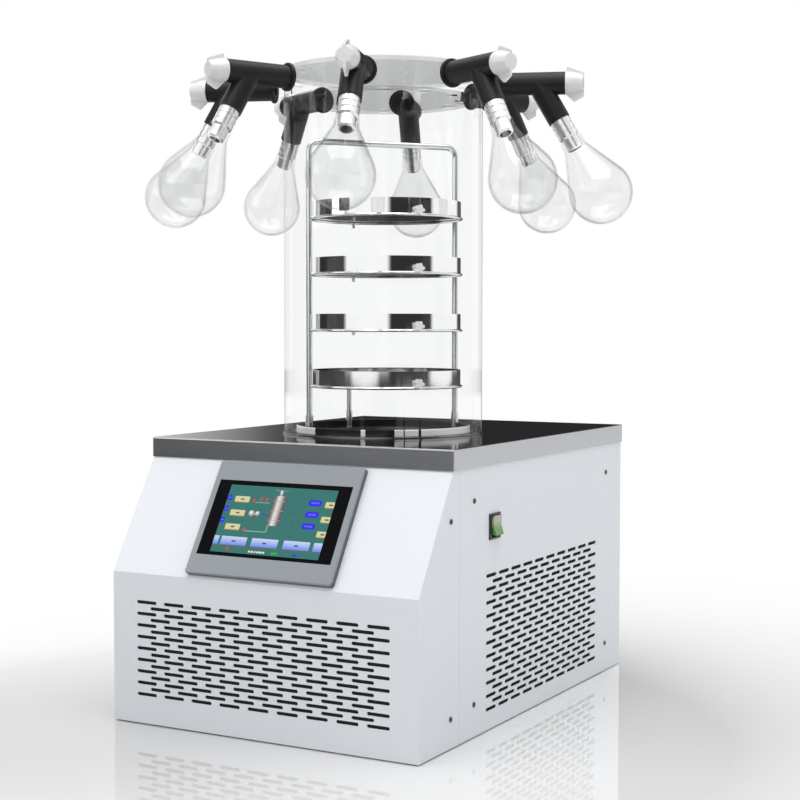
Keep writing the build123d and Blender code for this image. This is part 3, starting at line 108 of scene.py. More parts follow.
class FreezeDryerColours(PropertyGroup):
    """Colours of the freeze dryer's finishes."""

    panel: colour_setting("Panel coat", "Powder coat of the cabinet", (0.775, 0.80, 0.84))
    deck: colour_setting("Deck", "Top face of the worktop", (0.005, 0.005, 0.006))
    skirt: colour_setting("Deck skirt", "Brushed skirt round the worktop", (0.50, 0.51, 0.53))
    bezel: colour_setting("Display frame", "Moulded frame of the display", (0.275, 0.300, 0.325))
    screen: colour_setting("Screen", "Background of the screen picture", (0.040, 0.185, 0.165))
    black: colour_setting("Black parts", "Moulded black valves and switch", (0.016, 0.016, 0.018))
    knob: colour_setting("Knobs", "White turned valve knobs", (0.72, 0.72, 0.71))
    rocker: colour_setting("Rocker", "Lit rocker of the mains switch", (0.09, 0.40, 0.02))
    plate_tint: colour_setting("Plate tint", "Tint of the head and baffle plates", (0.93, 0.933, 0.937))


class FreezeDryerSizes(PropertyGroup):
    """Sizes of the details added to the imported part."""

    screw_radius: length_setting("Screw head radius", "Radius of a panel screw's head", 0.0034)
    screw_height: length_setting("Screw head height", "Height of a panel screw's head", 0.0013)
    recess_width: length_setting("Recess width", "Width of each arm of the cross recess", 0.0009)
    recess_reach: length_setting("Recess reach", "Length of each arm of the cross recess", 0.0020)
    recess_depth: length_setting("Recess depth", "Depth of the cross recess", 0.0007)
    # The shade sheets are dark mats behind the panel slots that stand in for the shade inside the
    # cabinet: painted shade.
    shade_sheet_gap: length_setting("Shade sheet gap", "Panel's outer face to the shade sheet", 0.0020)
    shade_sheet_depth: length_setting("Shade sheet depth", "Thickness of a shade sheet", 0.0020)
    shade_sheet_side: length_setting("Shade sheet side", "Bare strip beside a shade sheet", 0.012)
    shade_sheet_base: length_setting("Shade sheet base", "Bare strip below the shade sheets", 0.014)
    shade_sheet_top: length_setting("Front shade sheet top", "Height of the front shade sheet", 0.165)
    shade_sheet_side_top: length_setting("Side shade sheet top", "Height of the side shade sheets", 0.202)
    picture_width: length_setting("Picture width", "Lit width of the screen", 0.1565)
    picture_height: length_setting("Picture height", "Lit height of the screen", 0.0915)
    picture_right: length_setting("Right margin", "Dark border right of the picture", 0.0185)
    picture_top: length_setting("Top margin", "Dark border above the picture", 0.0058)
    picture_step: length_setting("Layer step", "Height between the picture's layers", 0.00004)


class FreezeDryerStudio(PropertyGroup):
    """Camera, lamps and floor."""

    lens: FloatProperty(name="Lens", description="Focal length", default=71.28, min=1, unit="CAMERA")
    camera_turn: angle_setting("Turn", "Camera turn to the left", 28.94)
    camera_dip: angle_setting("Dip", "Camera tilt downwards", 2.75)
    camera_roll: angle_setting("Roll", "Camera roll", 0.06)
    floor_size: length_setting("Floor size", "Width of the square floor", 60.0)
    floor_white: length_setting("White from", "Distance at which the floor is plain white", 1.6)
    ambient: FloatProperty(name="Ambient", description="Even light from all sides", default=0.575, min=0)
    top_power: power_setting("Top lamp", "Power of the lamp overhead", 79)
    side_power: power_setting("Side lamp", "Power of the lamp at the left", 16)


def colours():
    """The colour settings of the open scene."""
    return bpy.context.scene.freeze_dryer_colours


def sizes():
    """The size settings of the open scene."""
    return bpy.context.scene.freeze_dryer_sizes


def studio():
    """The studio settings of the open scene."""
    return bpy.context.scene.freeze_dryer_studio


# ---------------------------------------------------------------- shader helpers
FINE_RELIEF = 0.00001    # metres
FINISH_OUTPUTS = {"Colour": "Color", "Roughness": "Float", "Height": "Float"}
DUST_COLOUR = (0.45, 0.44, 0.42)
NEAR_BLACK = (0.012, 0.012, 0.012)


def opaque(colour):
    """A colour with full alpha."""
    return (*colour[:3], 1.0)


def fill(tree, node, values):
    """Fill inputs of a node with other nodes' outputs or plain values."""
    for key, value in values.items():
        socket = node.inputs[key]
        if isinstance(value, bpy.types.NodeSocket):
            tree.links.new(value, socket)
        else:
            socket.default_value = opaque(value) if socket.type == "RGBA" else value


def add(tree, kind, values=None, **options):
    """Add a shader node with its options and inputs."""
    made = tree.nodes.new(f"ShaderNode{kind}")
    for key, value in options.items():
        setattr(made, key, value)
    fill(tree, made, values or {})
    return made


def maths(tree, operation, *values):
    """The result of a Math node."""
    return add(tree, "Math", dict(enumerate(values)), operation=operation).outputs[0]


def vector_maths(tree, operation, *values):
    """The outputs of a Vector Math node."""
    return add(tree, "VectorMath", dict(enumerate(values)), operation=operation).outputs


def length_of(tree, vector):
    """The length of a vector."""
    return vector_maths(tree, "LENGTH", vector)["Value"]


def distance_from(tree, vector, place):
    """How far each point is from one fixed place."""
    return vector_maths(tree, "DISTANCE", vector, place)["Value"]


def split_vector(tree, vector):
    """The three numbers of a vector."""
    return add(tree, "SeparateXYZ", {0: vector}).outputs


def surface_normal(tree):
    """The normal of the surface."""
    return add(tree, "NewGeometry").outputs["Normal"]


def plan_turn(tree, parts):
    """Direction in plan of a vector's parts, in radians."""
    return maths(tree, "ARCTAN2", parts["Y"], parts["X"])


def mapped(tree, value, start, end, low=0.0, high=1.0, how="LINEAR"):
    """A value's place between two others, as a number from low to high."""
    spans = {"Value": value, "From Min": start, "From Max": end, "To Min": low, "To Max": high}
    return add(tree, "MapRange", spans, interpolation_type=how).outputs[0]


def even_grey(tree, level):
    """A grey colour made from one number."""
    return add(tree, "CombineColor", {0: level, 1: level, 2: level}).outputs[0]


def blend_colours(tree, mask, first, second, how="MIX"):
    """Mix two colours by a mask."""
    values = {0: mask, 6: first, 7: second}
    return add(tree, "Mix", values, data_type="RGBA", blend_type=how).outputs[2]


def join_shaders(tree, mask, first, second):
    """Mix two shaders by a mask."""
    return add(tree, "MixShader", {0: mask, 1: first.outputs[0], 2: second.outputs[0]})


def grouped(tree, vector, group, values=None):
    """A node that runs a node group on a vector."""
    return add(tree, "Group", {0: vector, **(values or {})}, node_tree=group)


def start_group(name, inputs, outputs):
    """A new node group on a vector, with other inputs' defaults and the outputs' kinds.

    Returns its tree, what it is given and the node for its result.
    """
    tree = bpy.data.node_groups.new(name, "ShaderNodeTree")
    tree.interface.new_socket("Vector", in_out="INPUT", socket_type="NodeSocketVector")
    for label, default in inputs.items():
        kind = "Float" if isinstance(default, float) else {3: "Vector", 4: "Color"}[len(default)]
        socket = tree.interface.new_socket(label, in_out="INPUT", socket_type=f"NodeSocket{kind}")
        socket.default_value = default
    for label, kind in outputs.items():
        tree.interface.new_socket(label, in_out="OUTPUT", socket_type=f"NodeSocket{kind}")
    return tree, tree.nodes.new("NodeGroupInput").outputs, tree.nodes.new("NodeGroupOutput")


def vary_finish(tree, given, result, noise, depth, height):
    """Vary a finish's colour and roughness by a noise, and hand on its height."""
    centred = maths(tree, "SUBTRACT", noise, 0.5)
    shade = even_grey(tree, maths(tree, "MULTIPLY_ADD", centred, given[depth], 1.0))
    rough = maths(tree, "MULTIPLY_ADD", centred, given["Roughness spread"], given["Roughness"])
    tinted = blend_colours(tree, 1.0, given["Colour"], shade, "MULTIPLY")
    fill(tree, result, {"Colour": tinted, "Roughness": rough, "Height": height})


def grain_group():
    """Cloudy colour, roughness and fine relief of a coated, moulded or polished surface."""
    if "Fine grain" in bpy.data.node_groups:
        return bpy.data.node_groups["Fine grain"]
    tree, given, result = start_group("Fine grain", {
        "Colour": (0.8, 0.8, 0.8, 1), "Cloud size": 6.0, "Cloud depth": 0.03,
        "Roughness": 0.4, "Roughness spread": 0.05, "Grain size": 900.0,
    }, FINISH_OUTPUTS)
    cloud, grain = [
        add(tree, "TexNoise", {
            "Vector": given["Vector"], "Scale": given[size], "Detail": detail, "Roughness": rough,
        }).outputs["Fac"]
        for size, detail, rough in (("Cloud size", 3.0, 0.55), ("Grain size", 2.0, 0.5))
    ]
    vary_finish(tree, given, result, cloud, "Cloud depth", grain)
    return tree


def brushed_group():
    """Long fine lines of brushed or drawn metal along the stretched vector's short axis."""
    if "Brushed lines" in bpy.data.node_groups:
        return bpy.data.node_groups["Brushed lines"]
    tree, given, result = start_group("Brushed lines", {
        "Colour": (0.6, 0.6, 0.6, 1), "Stretch": (20.0, 20.0, 900.0), "Line depth": 0.08,
        "Roughness": 0.3, "Roughness spread": 0.12,
    }, FINISH_OUTPUTS)
    stretched = vector_maths(tree, "MULTIPLY", given["Vector"], given["Stretch"])[0]
    lines = add(tree, "TexNoise", {
        "Vector": stretched, "Scale": 1.0, "Detail": 4.0, "Roughness": 0.6,
    }).outputs["Fac"]
    vary_finish(tree, given, result, lines, "Line depth", lines)
    return tree


def dust_group():
    """Mask of fine dust that settles on faces turned upwards."""
    if "Settled dust" in bpy.data.node_groups:
        return bpy.data.node_groups["Settled dust"]
    tree, given, result = start_group("Settled dust", {"Amount": 0.1}, {"Mask": "Float"})
    specks = add(tree, "TexNoise", {
        "Vector": given["Vector"], "Scale": 260.0, "Detail": 5.0, "Roughness": 0.75,
    })
    up = maths(tree, "MAXIMUM", split_vector(tree, surface_normal(tree))["Z"], 0.0)
    picked = maths(tree, "MULTIPLY", up, specks.outputs["Fac"])
    fill(tree, result, {"Mask": maths(tree, "MULTIPLY", picked, given["Amount"])})
    return tree


def show(tree, shader):
    """Send a shader to the material's output."""
    fill(tree, tree.nodes["Material Output"], {0: shader.outputs[0]})


def start_material(name):
    """A node material with a Principled shader; returns material, tree, shader, vector."""
    material = bpy.data.materials.new(name)
    material.use_nodes = True
    tree = material.node_tree
    tree.nodes.clear()
    add(tree, "OutputMaterial")
    shader = add(tree, "BsdfPrincipled")
    show(tree, shader)
    return material, tree, shader, add(tree, "TexCoord").outputs["Object"]


def relief(tree, height, shader, distance):
    """Feed a height to the shader's normal through a Bump node."""
    bump = add(tree, "Bump", {"Strength": 1.0, "Distance": distance, "Height": height})
    fill(tree, shader, {"Normal": bump.outputs[0]})


def start_finish(name, group, finish_values, shader_values):
    """A material with a finish group; returns what start_material does, and the group's node."""
    material, tree, shader, vector = start_material(name)
    finish = grouped(tree, vector, group, finish_values)
    fill(tree, shader, {
        "Base Color": finish.outputs["Colour"], "Roughness": finish.outputs["Roughness"],
        **shader_values,
    })
    return material, tree, shader, vector, finish


def grained(
    nodes, name, colour, roughness, spread=0.06, cloud=6.0, depth=0.03, grain=900.0, bump=FINE_RELIEF,
    metallic=0.0, coat=0.0, dust=0.0, specular=0.5,
):
    """Give CAD nodes the material of a coated, moulded or cast surface."""
    material, tree, shader, vector, finish = start_finish(name, grain_group(), {
        "Colour": colour, "Cloud size": cloud, "Cloud depth": depth,
        "Roughness": roughness, "Roughness spread": spread, "Grain size": grain,
    }, {
        "Metallic": metallic, "Specular IOR Level": specular, "Coat Weight": coat,
        "Coat Roughness": 0.08,
    })
    if dust:
        film = grouped(tree, vector, dust_group(), {"Amount": dust}).outputs["Mask"]
        dusty = blend_colours(tree, film, finish.outputs["Colour"], DUST_COLOUR)
        fill(tree, shader, {"Base Color": dusty})
    relief(tree, finish.outputs["Height"], shader, bump)
    return paint(material, nodes)


def brushed(nodes, name, colour, roughness, stretch):
    """Give CAD nodes the material of drawn or rolled metal."""
    material, tree, shader, vector, finish = start_finish(name, brushed_group(), {
        "Colour": colour, "Stretch": stretch, "Line depth": 0.1,
        "Roughness": roughness, "Roughness spread": 0.14,
    }, {"Metallic": 1.0})
    relief(tree, finish.outputs["Height"], shader, FINE_RELIEF)
    paint(material, nodes)


def clear(nodes, name, edge, centre, index, roughness, spread):
    """Give CAD nodes clear rubber that bends light, a little darker at grazing angles."""
    material, tree, shader, vector, finish = start_finish(name, grain_group(), {
        "Cloud size": 9.0, "Cloud depth": 0.02, "Roughness": roughness, "Roughness spread": spread,
    }, {"Transmission Weight": 1.0, "IOR": index})
    rim = add(tree, "LayerWeight", {"Blend": 0.15}).outputs["Facing"]
    fill(tree, finish, {"Colour": blend_colours(tree, rim, centre, edge)})
    rays = add(tree, "LightPath").outputs
    lit = maths(tree, "MAXIMUM", rays["Is Shadow Ray"], rays["Is Diffuse Ray"])
    through = add(tree, "BsdfTransparent", {"Color": [0.5 + 0.5 * part for part in centre]})
    show(tree, join_shaders(tree, lit, shader, through))
    paint(material, nodes)


def see_through(nodes, name, tint, grazing=0.5, index=1.49, mirror=0.95, film_where=None):
    """Give CAD nodes clear sheet plastic or thin glass, which doesn't bend what is behind it.

    A mirror film lies on it; `film_where` makes a mask of where, from the tree and the object
    coordinates.
    """
    material, tree, shader, vector, finish = start_finish(name, grain_group(), {
        "Colour": (mirror, mirror, mirror), "Cloud size": 7.0, "Cloud depth": 0.04,
        "Roughness": 0.02, "Roughness spread": 0.02,
    }, {"Metallic": 1.0})
    rim = add(tree, "LayerWeight", {"Blend": 0.5}).outputs["Facing"]
    straight = ((index - 1) / (index + 1)) ** 2
    film = maths(tree, "MULTIPLY_ADD", maths(tree, "POWER", rim, 5.0), grazing - straight, straight)
    if film_where:
        film = maths(tree, "MULTIPLY", film, film_where(tree, vector))
    through = add(tree, "BsdfTransparent", {"Color": tint})
    unlit = maths(tree, "SUBTRACT", 1.0, add(tree, "LightPath").outputs["Is Shadow Ray"])
    show(tree, join_shaders(tree, maths(tree, "MULTIPLY", film, unlit), through, shader))
    paint(material, nodes)


def chamber_foot():
    """The point of the floor under the chamber's upright axis."""
    low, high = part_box("chamber_cylinder")
    return ((low.x + high.x) / 2, (low.y + high.y) / 2, 0)


def from_chamber_axis(tree, vector):
    """Distance from the chamber's upright axis."""
    return distance_from(tree, vector_maths(tree, "MULTIPLY", vector, (1, 1, 0))[0], chamber_foot())


def refinish(material, mask, tint, roughness):
    """Give a material another colour, and more roughness, where a mask is 1."""
    tree = material.node_tree
    shader = tree.nodes["Principled BSDF"]
    colour, smooth = [shader.inputs[key].links[0].from_socket for key in ("Base Color", "Roughness")]
    fill(tree, shader, {
        "Base Color": blend_colours(tree, mask, colour, tint),
        "Roughness": maths(tree, "MULTIPLY_ADD", mask, roughness, smooth),
    })


def paint(material, nodes):
    """Give CAD nodes a material, and return it."""
    for name in nodes:
        slots = NODES[name].data.materials
        slots.clear()
        slots.append(material)
    return material


# ---------------------------------------------------------------- mesh helpers
def mesh_data(name, mesh):
    """Blender's mesh of a finished bmesh."""
    data = bpy.data.meshes.new(name)
    mesh.to_mesh(data)
    mesh.free()
    return data


def add_object(name, data):
    """A new object in the scene."""
    made = bpy.data.objects.new(name, data)
    bpy.context.scene.collection.objects.link(made)
    return made


def add_piece(name, mesh, materials, replaced=(), crease=30.0):
    """Turn a finished bmesh into a piece that rides on the fixed body."""
    data = mesh_data(name, mesh)
    for material in materials:
        data.materials.append(material)
    data.shade_smooth()
    data.set_sharp_from_angle(angle=radians(crease))
    piece = add_object(name, data)
    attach(piece, BODY)
    if replaced:
        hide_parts(*replaced)


def solids_of(name):
    """The boxes (low, high) of each separate solid in a CAD node."""
    mesh = bmesh.new()
    mesh.from_mesh(NODES[name].data)
    bmesh.ops.remove_doubles(mesh, verts=mesh.verts[:], dist=1e-6)
    left = set(mesh.verts)
    boxes = []
    while left:
        group = [left.pop()]
        for vert in group:
            for other in [edge.other_vert(vert) for edge in vert.link_edges]:
                if other in left:
                    left.remove(other)
                    group.append(other)
        columns = list(zip(*[vert.co for vert in group]))
        boxes.append((Vector(map(min, columns)), Vector(map(max, columns))))
    mesh.free()
    return sorted(boxes, key=lambda box: tuple(round(value, 4) for value in box[0]))


def gather(target, source, place, material_index=0):
    """Move a bmesh to its place and join it to another."""
    source.transform(place)
    for face in source.faces:
        face.material_index = material_index
    data = mesh_data("part", source)
    target.from_mesh(data)
    bpy.data.meshes.remove(data)


def round_off(mesh, edges, offset, segments):
    """Round some edges of a bmesh."""
    bmesh.ops.bevel(
        mesh, geom=edges, offset=offset, segments=segments, profile=0.5, affect="EDGES", material=-1
    )


def in_fixed_order(mesh):
    """Sort a bmesh by place, because a bevel leaves it in an order that changes each run."""
    ruler = Vector((1.0, 1.618, 2.414))
    mesh.verts.sort(key=lambda vert: vert.co.dot(ruler))
    mesh.edges.sort(key=lambda edge: (edge.verts[0].co + edge.verts[1].co).dot(ruler))
    mesh.faces.sort(key=lambda face: face.calc_center_median().dot(ruler))


def frame_at(origin, across, up):
    """Matrix of a frame at a point: x across, z along `up`."""
    z_axis = Vector(up).normalized()
    x_axis = (Vector(across) - z_axis * Vector(across).dot(z_axis)).normalized()
    y_axis = z_axis.cross(x_axis)
    return Matrix.Translation(origin) @ Matrix((x_axis, y_axis, z_axis)).transposed().to_4x4()


# ---------------------------------------------------------------- stage
# The surroundings that mirrors see: dark upright screens, as spans of degrees to the left of
# the camera's side, first on the near floor, then in the distance. Between the two rings of
# screens the floor is dark with two bright bowls, as pairs of degrees and brightness.
NEAR_SCREENS = ((-43.5, -41.5), (-25, -22.5), (-15, 21.5), (25, 98), (165, 200))
FAR_SCREENS = ((-74, -4), (66, 128), (173, 218))
BOWL_LIGHTS = ((58, 0), (33, 1), (9, 0), (-66, 0), (-95, 1), (-124, 0))
NEAR_EDGE = (8.6, 9.8)             # where the near screens give way to the bowls
FAR_EDGE = (14.5, 16.5)            # where the bowls give way to the far screens
BOWL_SPAN = (13.2, 10.0)           # outer and inner ends of a bowl
BOWL_CURVE = 4.0                   # how blunt a bowl's outline is
BOWL_GAIN = 4.0                    # how sharp its edge is
SCREEN_LEVEL = 0.03
BOWL_DARK = 0.05
SKY_EDGE = (0.45, 0.75)            # rise of a direction between the screens' tops and plain white
FADE_PLACE = (0.0, -0.25, 0.0)     # the floor fades to white away from here
FADE_START = 0.54
FADE_CURVE = 3.0
SHADE_PLACE = (-0.27, -0.42, 0.0)  # the floor's colour is darkest here: a painted shadow beside the cabinet
SHADE_SPAN = (0.1, 0.6)
SHADE_SHARE = 0.54                 # how much of its paleness the painted shadow takes away there
# Painted shadow: the floor's colour runs from the shadowed grey near the cabinet to the pale grey
# further out.
FLOOR_SHADOWED, FLOOR_PALE = (0.56, 0.56, 0.56), (0.95, 0.95, 0.95)
CAMERA_PLACE = (1.0643, -1.8864, 0.5042)
RIGHT_LAMP_SHARE = 0.35            # of the side lamp's power


def mirrored_rays(tree, rays):
    """1 for a ray that a mirror-like surface sent on, also after it went through glass."""
    bounced = maths(tree, "GREATER_THAN", rays["Glossy Depth"], 0.5)
    return maths(tree, "MULTIPLY", bounced, maths(tree, "SUBTRACT", 1.0, rays["Is Diffuse Ray"]))


def seen_rays(tree, rays):
    """1 for a ray that comes straight from the camera or through glass."""
    return maths(tree, "MAXIMUM", rays["Is Camera Ray"], rays["Is Transmission Ray"])


def level_around(tree, vector, levels):
    """A level that changes with the direction of a vector in plan, from (degrees, level) pairs."""
    turn = maths(tree, "MULTIPLY_ADD", plan_turn(tree, split_vector(tree, vector)), 1 / tau, 0.5)
    bands = add(tree, "ValToRGB", {0: turn})
    towards_camera = atan2(-cos(studio().camera_turn), sin(studio().camera_turn))
    stops = sorted(
        (((towards_camera - radians(angle)) / tau + 0.5) % 1.0, level) for angle, level in levels
    )
    wrapped = stops[0][1] if stops[0][1] == stops[-1][1] else 1.0
    elements = bands.color_ramp.elements
    for element, end in zip(elements, (0.0, 1.0)):
        element.position = end
        element.color = opaque((wrapped, wrapped, wrapped))
    for share, level in stops:
        elements.new(share).color = opaque((level, level, level))
    return bands.outputs[0]


def screens_group(name, screens, soft):
    """Brightness of the surroundings in a direction: white with dark upright screens."""
    tree, given, result = start_group(name, {}, {"Colour": "Color"})
    levels = []
    for first, last in screens:
        levels += [(first - soft, 1.0), (first + soft, SCREEN_LEVEL)]
        levels += [(last - soft, SCREEN_LEVEL), (last + soft, 1.0)]
    fill(tree, result, {0: level_around(tree, given["Vector"], levels)})
    return tree


def bowls_group():
    """Brightness of the floor between the two rings of screens: dark, with two bright bowls."""
    tree, given, result = start_group("Bowl lights", {}, {"Colour": "Color"})
    tents = level_around(tree, given["Vector"], BOWL_LIGHTS)
    depth = mapped(tree, length_of(tree, given["Vector"]), *BOWL_SPAN)
    bowl = maths(tree, "SUBTRACT", tents, maths(tree, "POWER", depth, BOWL_CURVE))
    level = maths(tree, "MULTIPLY", bowl, BOWL_GAIN)
    fill(tree, result, {0: mapped(tree, level, 0.0, 1.0, low=BOWL_DARK)})
    return tree


class FREEZEDRYER_OT_stage(Operator):
    """Make the floor, the lamps, the surroundings and the camera"""

    bl_idname = "freeze_dryer.stage"
    bl_label = "Studio"

    def execute(self, context):
        self.surroundings()
        self.floor()
        self.lamps()
        self.camera()
        context.scene.view_settings.view_transform = "Standard"
        return {"FINISHED"}

    def floor(self):
        """Pale glossy floor that fades to plain white away from the cabinet, its colour darkened near
        the cabinet as a painted shadow.
        """
        mesh = bmesh.new()
        bmesh.ops.create_grid(mesh, x_segments=1, y_segments=1, size=studio().floor_size / 2)
        data = mesh_data("floor", mesh)
        material, tree, shader, vector = start_material("Pale floor")
        away = distance_from(tree, vector, FADE_PLACE)
        left = mapped(tree, away, FADE_START, studio().floor_white, low=1.0, high=0.0)
        spread = maths(tree, "SUBTRACT", 1.0, maths(tree, "POWER", left, FADE_CURVE))
        # Painted shadow: the floor's colour darkens towards the cabinet, and most of all around
        # SHADE_PLACE.
        away = distance_from(tree, vector, SHADE_PLACE)
        unshaded = mapped(tree, away, *SHADE_SPAN, how="SMOOTHSTEP")
        faded = maths(tree, "MULTIPLY", spread, 1 - SHADE_SHARE)
        paleness = maths(tree, "MULTIPLY_ADD", unshaded, SHADE_SHARE, faded)
        shade = blend_colours(tree, paleness, FLOOR_SHADOWED, FLOOR_PALE)
        fill(tree, shader, {"Base Color": shade, "Roughness": 0.04})
        rays = add(tree, "LightPath").outputs
        mirrored = mirrored_rays(tree, rays)
        seen = maths(tree, "MAXIMUM", seen_rays(tree, rays), mirrored)
        near, bowls, far = [
            grouped(tree, vector, group).outputs[0]
            for group in (
                screens_group("Near screens", NEAR_SCREENS, 0.8), bowls_group(),
                bpy.data.node_groups["Far screens"],
            )
        ]
        reach = length_of(tree, vector)
        bands = blend_colours(tree, mapped(tree, reach, *NEAR_EDGE), near, bowls)
        bands = blend_colours(tree, mapped(tree, reach, *FAR_EDGE), bands, far)
        glow = blend_colours(tree, mirrored, (1.0, 1.0, 1.0), bands)
        white = add(tree, "Emission", {"Color": glow, "Strength": 1.0})
        show(tree, join_shaders(tree, maths(tree, "MULTIPLY", seen, spread), shader, white))
        data.materials.append(material)
        add_object("floor", data)

    def lamps(self):
        """One wide lamp overhead and two at the sides."""
        middle = (cad_box[0] + cad_box[1]) / 2
        rows = [
            ("lamp_top", (0.3, -0.5, 3.2), 3.0, studio().top_power),
            ("lamp_left", (-2.6, -2.2, 1.6), 1.6, studio().side_power),
            ("lamp_right", (2.8, -0.6, 1.7), 1.6, studio().side_power * RIGHT_LAMP_SHARE),
        ]
        for name, place, width, power in rows:
            lamp = bpy.data.lights.new(name, "AREA")
            lamp.shape = "SQUARE"
            lamp.size = width
            lamp.energy = power
            lamp_object = add_object(name, lamp)
            lamp_object.location = place
            lamp_object.rotation_euler = (middle - Vector(place)).to_track_quat("-Z", "Y").to_euler()

    def surroundings(self):
        """White to the eye and through glass, even ambient light, banded in reflections."""
        world = bpy.data.worlds.new("Studio")
        bpy.context.scene.world = world
        world.use_nodes = True
        tree = world.node_tree
        tree.nodes.clear()
        rays = add(tree, "LightPath").outputs
        direction = add(tree, "TexCoord").outputs["Generated"]
        bands = grouped(tree, direction, screens_group("Far screens", FAR_SCREENS, 3.0)).outputs[0]
        height = mapped(tree, split_vector(tree, direction)["Z"], *SKY_EDGE, how="SMOOTHSTEP")
        sky = blend_colours(tree, height, bands, (1, 1, 1))
        ambient, white, mirrored = [
            add(tree, "Background", {"Color": colour, "Strength": strength})
            for colour, strength in (((1, 1, 1), studio().ambient), ((1, 1, 1), 1.0), (sky, 1.0))
        ]
        shown = join_shaders(tree, seen_rays(tree, rays), ambient, white)
        glossy = join_shaders(tree, mirrored_rays(tree, rays), shown, mirrored)
        add(tree, "OutputWorld", {0: glossy.outputs[0]})

    def camera(self):
        """Camera at the right front, a little above the worktop."""
        turn, dip, roll = studio().camera_turn, studio().camera_dip, studio().camera_roll
        ahead = Vector((-sin(turn) * cos(dip), cos(turn) * cos(dip), -sin(dip)))
        right = Vector((cos(turn), sin(turn), 0))
        up = right.cross(ahead)
        rolled_right = right * cos(roll) + up * sin(roll)
        rolled_up = ahead.cross(rolled_right) * -1
        camera = bpy.data.cameras.new("camera")
        camera.lens = studio().lens
        camera.sensor_width = 36.0
        axes = Matrix((rolled_right, rolled_up, -ahead)).transposed().to_4x4()
        camera_object = add_object("camera", camera)
        camera_object.matrix_world = Matrix.Translation(CAMERA_PLACE) @ axes
        bpy.context.scene.camera = camera_object


# ---------------------------------------------------------------- cabinet
TOP_EDGE = (0.985, 0.998)    # upward part of a normal, from the worktop's skirt to its top face


class FREEZEDRYER_OT_cabinet(Operator):
    """Coat the cabinet's panels, pan, feet and inner frame"""

    bl_idname = "freeze_dryer.cabinet"
    bl_label = "Cabinet"

    def execute(self, context):
        grained(
            ["front_shell", "side_panel_left", "side_panel_right", "rear_panel"], "Panel coat",
            colours().panel, 0.38, spread=0.05, cloud=3.0, depth=0.02, grain=1400.0, bump=0.00002,
            dust=0.02,
        )
        grained(
            ["base_pan", "inner_frame"], "Galvanised sheet", (0.52, 0.53, 0.54), 0.42, spread=0.2,
            cloud=45.0, depth=0.25, metallic=1.0,
        )
        grained(
            ["rubber_feet", "compressor_grommets"], "Black rubber", (0.02, 0.02, 0.02), 0.75,
            grain=500.0, bump=0.00005,
        )
        self.worktop()
        self.shade_behind_slots()
        return {"FINISHED"}

    def shade_behind_slots(self):
        """Dark sheets behind the slots of the front and side panels, as painted shade inside the
        cabinet.
        """
        # Painted shade: black foam sheets make the slots read dark.
        foam = grained(
            [], "Black shade sheet foam", (0.03, 0.03, 0.03), 0.95, cloud=60.0, depth=0.4, grain=420.0,
            bump=0.0006, specular=0.05,
        )
        size = sizes()
        low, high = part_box("front_shell")
        base, side_top = low.z + size.shade_sheet_base, low.z + size.shade_sheet_side_top
        near = low.y + size.shade_sheet_gap
        mats = [(
            (low.x + size.shade_sheet_side, near, base),
            (high.x - size.shade_sheet_side, near + size.shade_sheet_depth, low.z + size.shade_sheet_top),
        )]
        for name, outer in (("side_panel_left", -1), ("side_panel_right", 1)):
            low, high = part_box(name)
            face = low.x if outer < 0 else high.x
            inner = sorted(face - outer * (size.shade_sheet_gap + depth) for depth in (0, size.shade_sheet_depth))
            ends = (low.y + size.shade_sheet_side, high.y - size.shade_sheet_side)
            mats.append(tuple(zip(inner, ends, (base, side_top))))
        mesh = bmesh.new()
        for low, high in mats:
            mat = bmesh.new()
            bmesh.ops.create_cube(mat, size=1.0)
            bmesh.ops.scale(mat, verts=mat.verts[:], vec=Vector(high) - Vector(low))
            round_off(mat, mat.edges[:], size.shade_sheet_depth * 0.3, 2)
            gather(mesh, mat, Matrix.Translation((Vector(low) + Vector(high)) / 2))
        add_piece("slot_shade_sheets", mesh, [foam])

    def worktop(self):
        """Black gloss top face, brushed steel skirt."""
        material, tree, shader, vector = start_material("Worktop")
        top = mapped(tree, split_vector(tree, surface_normal(tree))["Z"], *TOP_EDGE)
        steel = grouped(tree, vector, brushed_group(), {
            "Colour": colours().skirt, "Stretch": (12.0, 12.0, 1100.0), "Roughness": 0.24,
        }).outputs
        enamel = grouped(tree, vector, grain_group(), {
            "Colour": colours().deck, "Roughness": 0.09, "Roughness spread": 0.05,
        }).outputs
        difference = maths(tree, "SUBTRACT", enamel["Roughness"], steel["Roughness"])
        fill(tree, shader, {
            "Base Color": blend_colours(tree, top, steel["Colour"], enamel["Colour"]),
            "Metallic": maths(tree, "SUBTRACT", 1.0, top),
            "Roughness": maths(tree, "MULTIPLY_ADD", difference, top, steel["Roughness"]),
            "Specular IOR Level": 0.35,
        })
        paint(material, ["worktop"])


FACING_UP = 0.99    # upward part of a normal that makes a face part of a screw's flat top


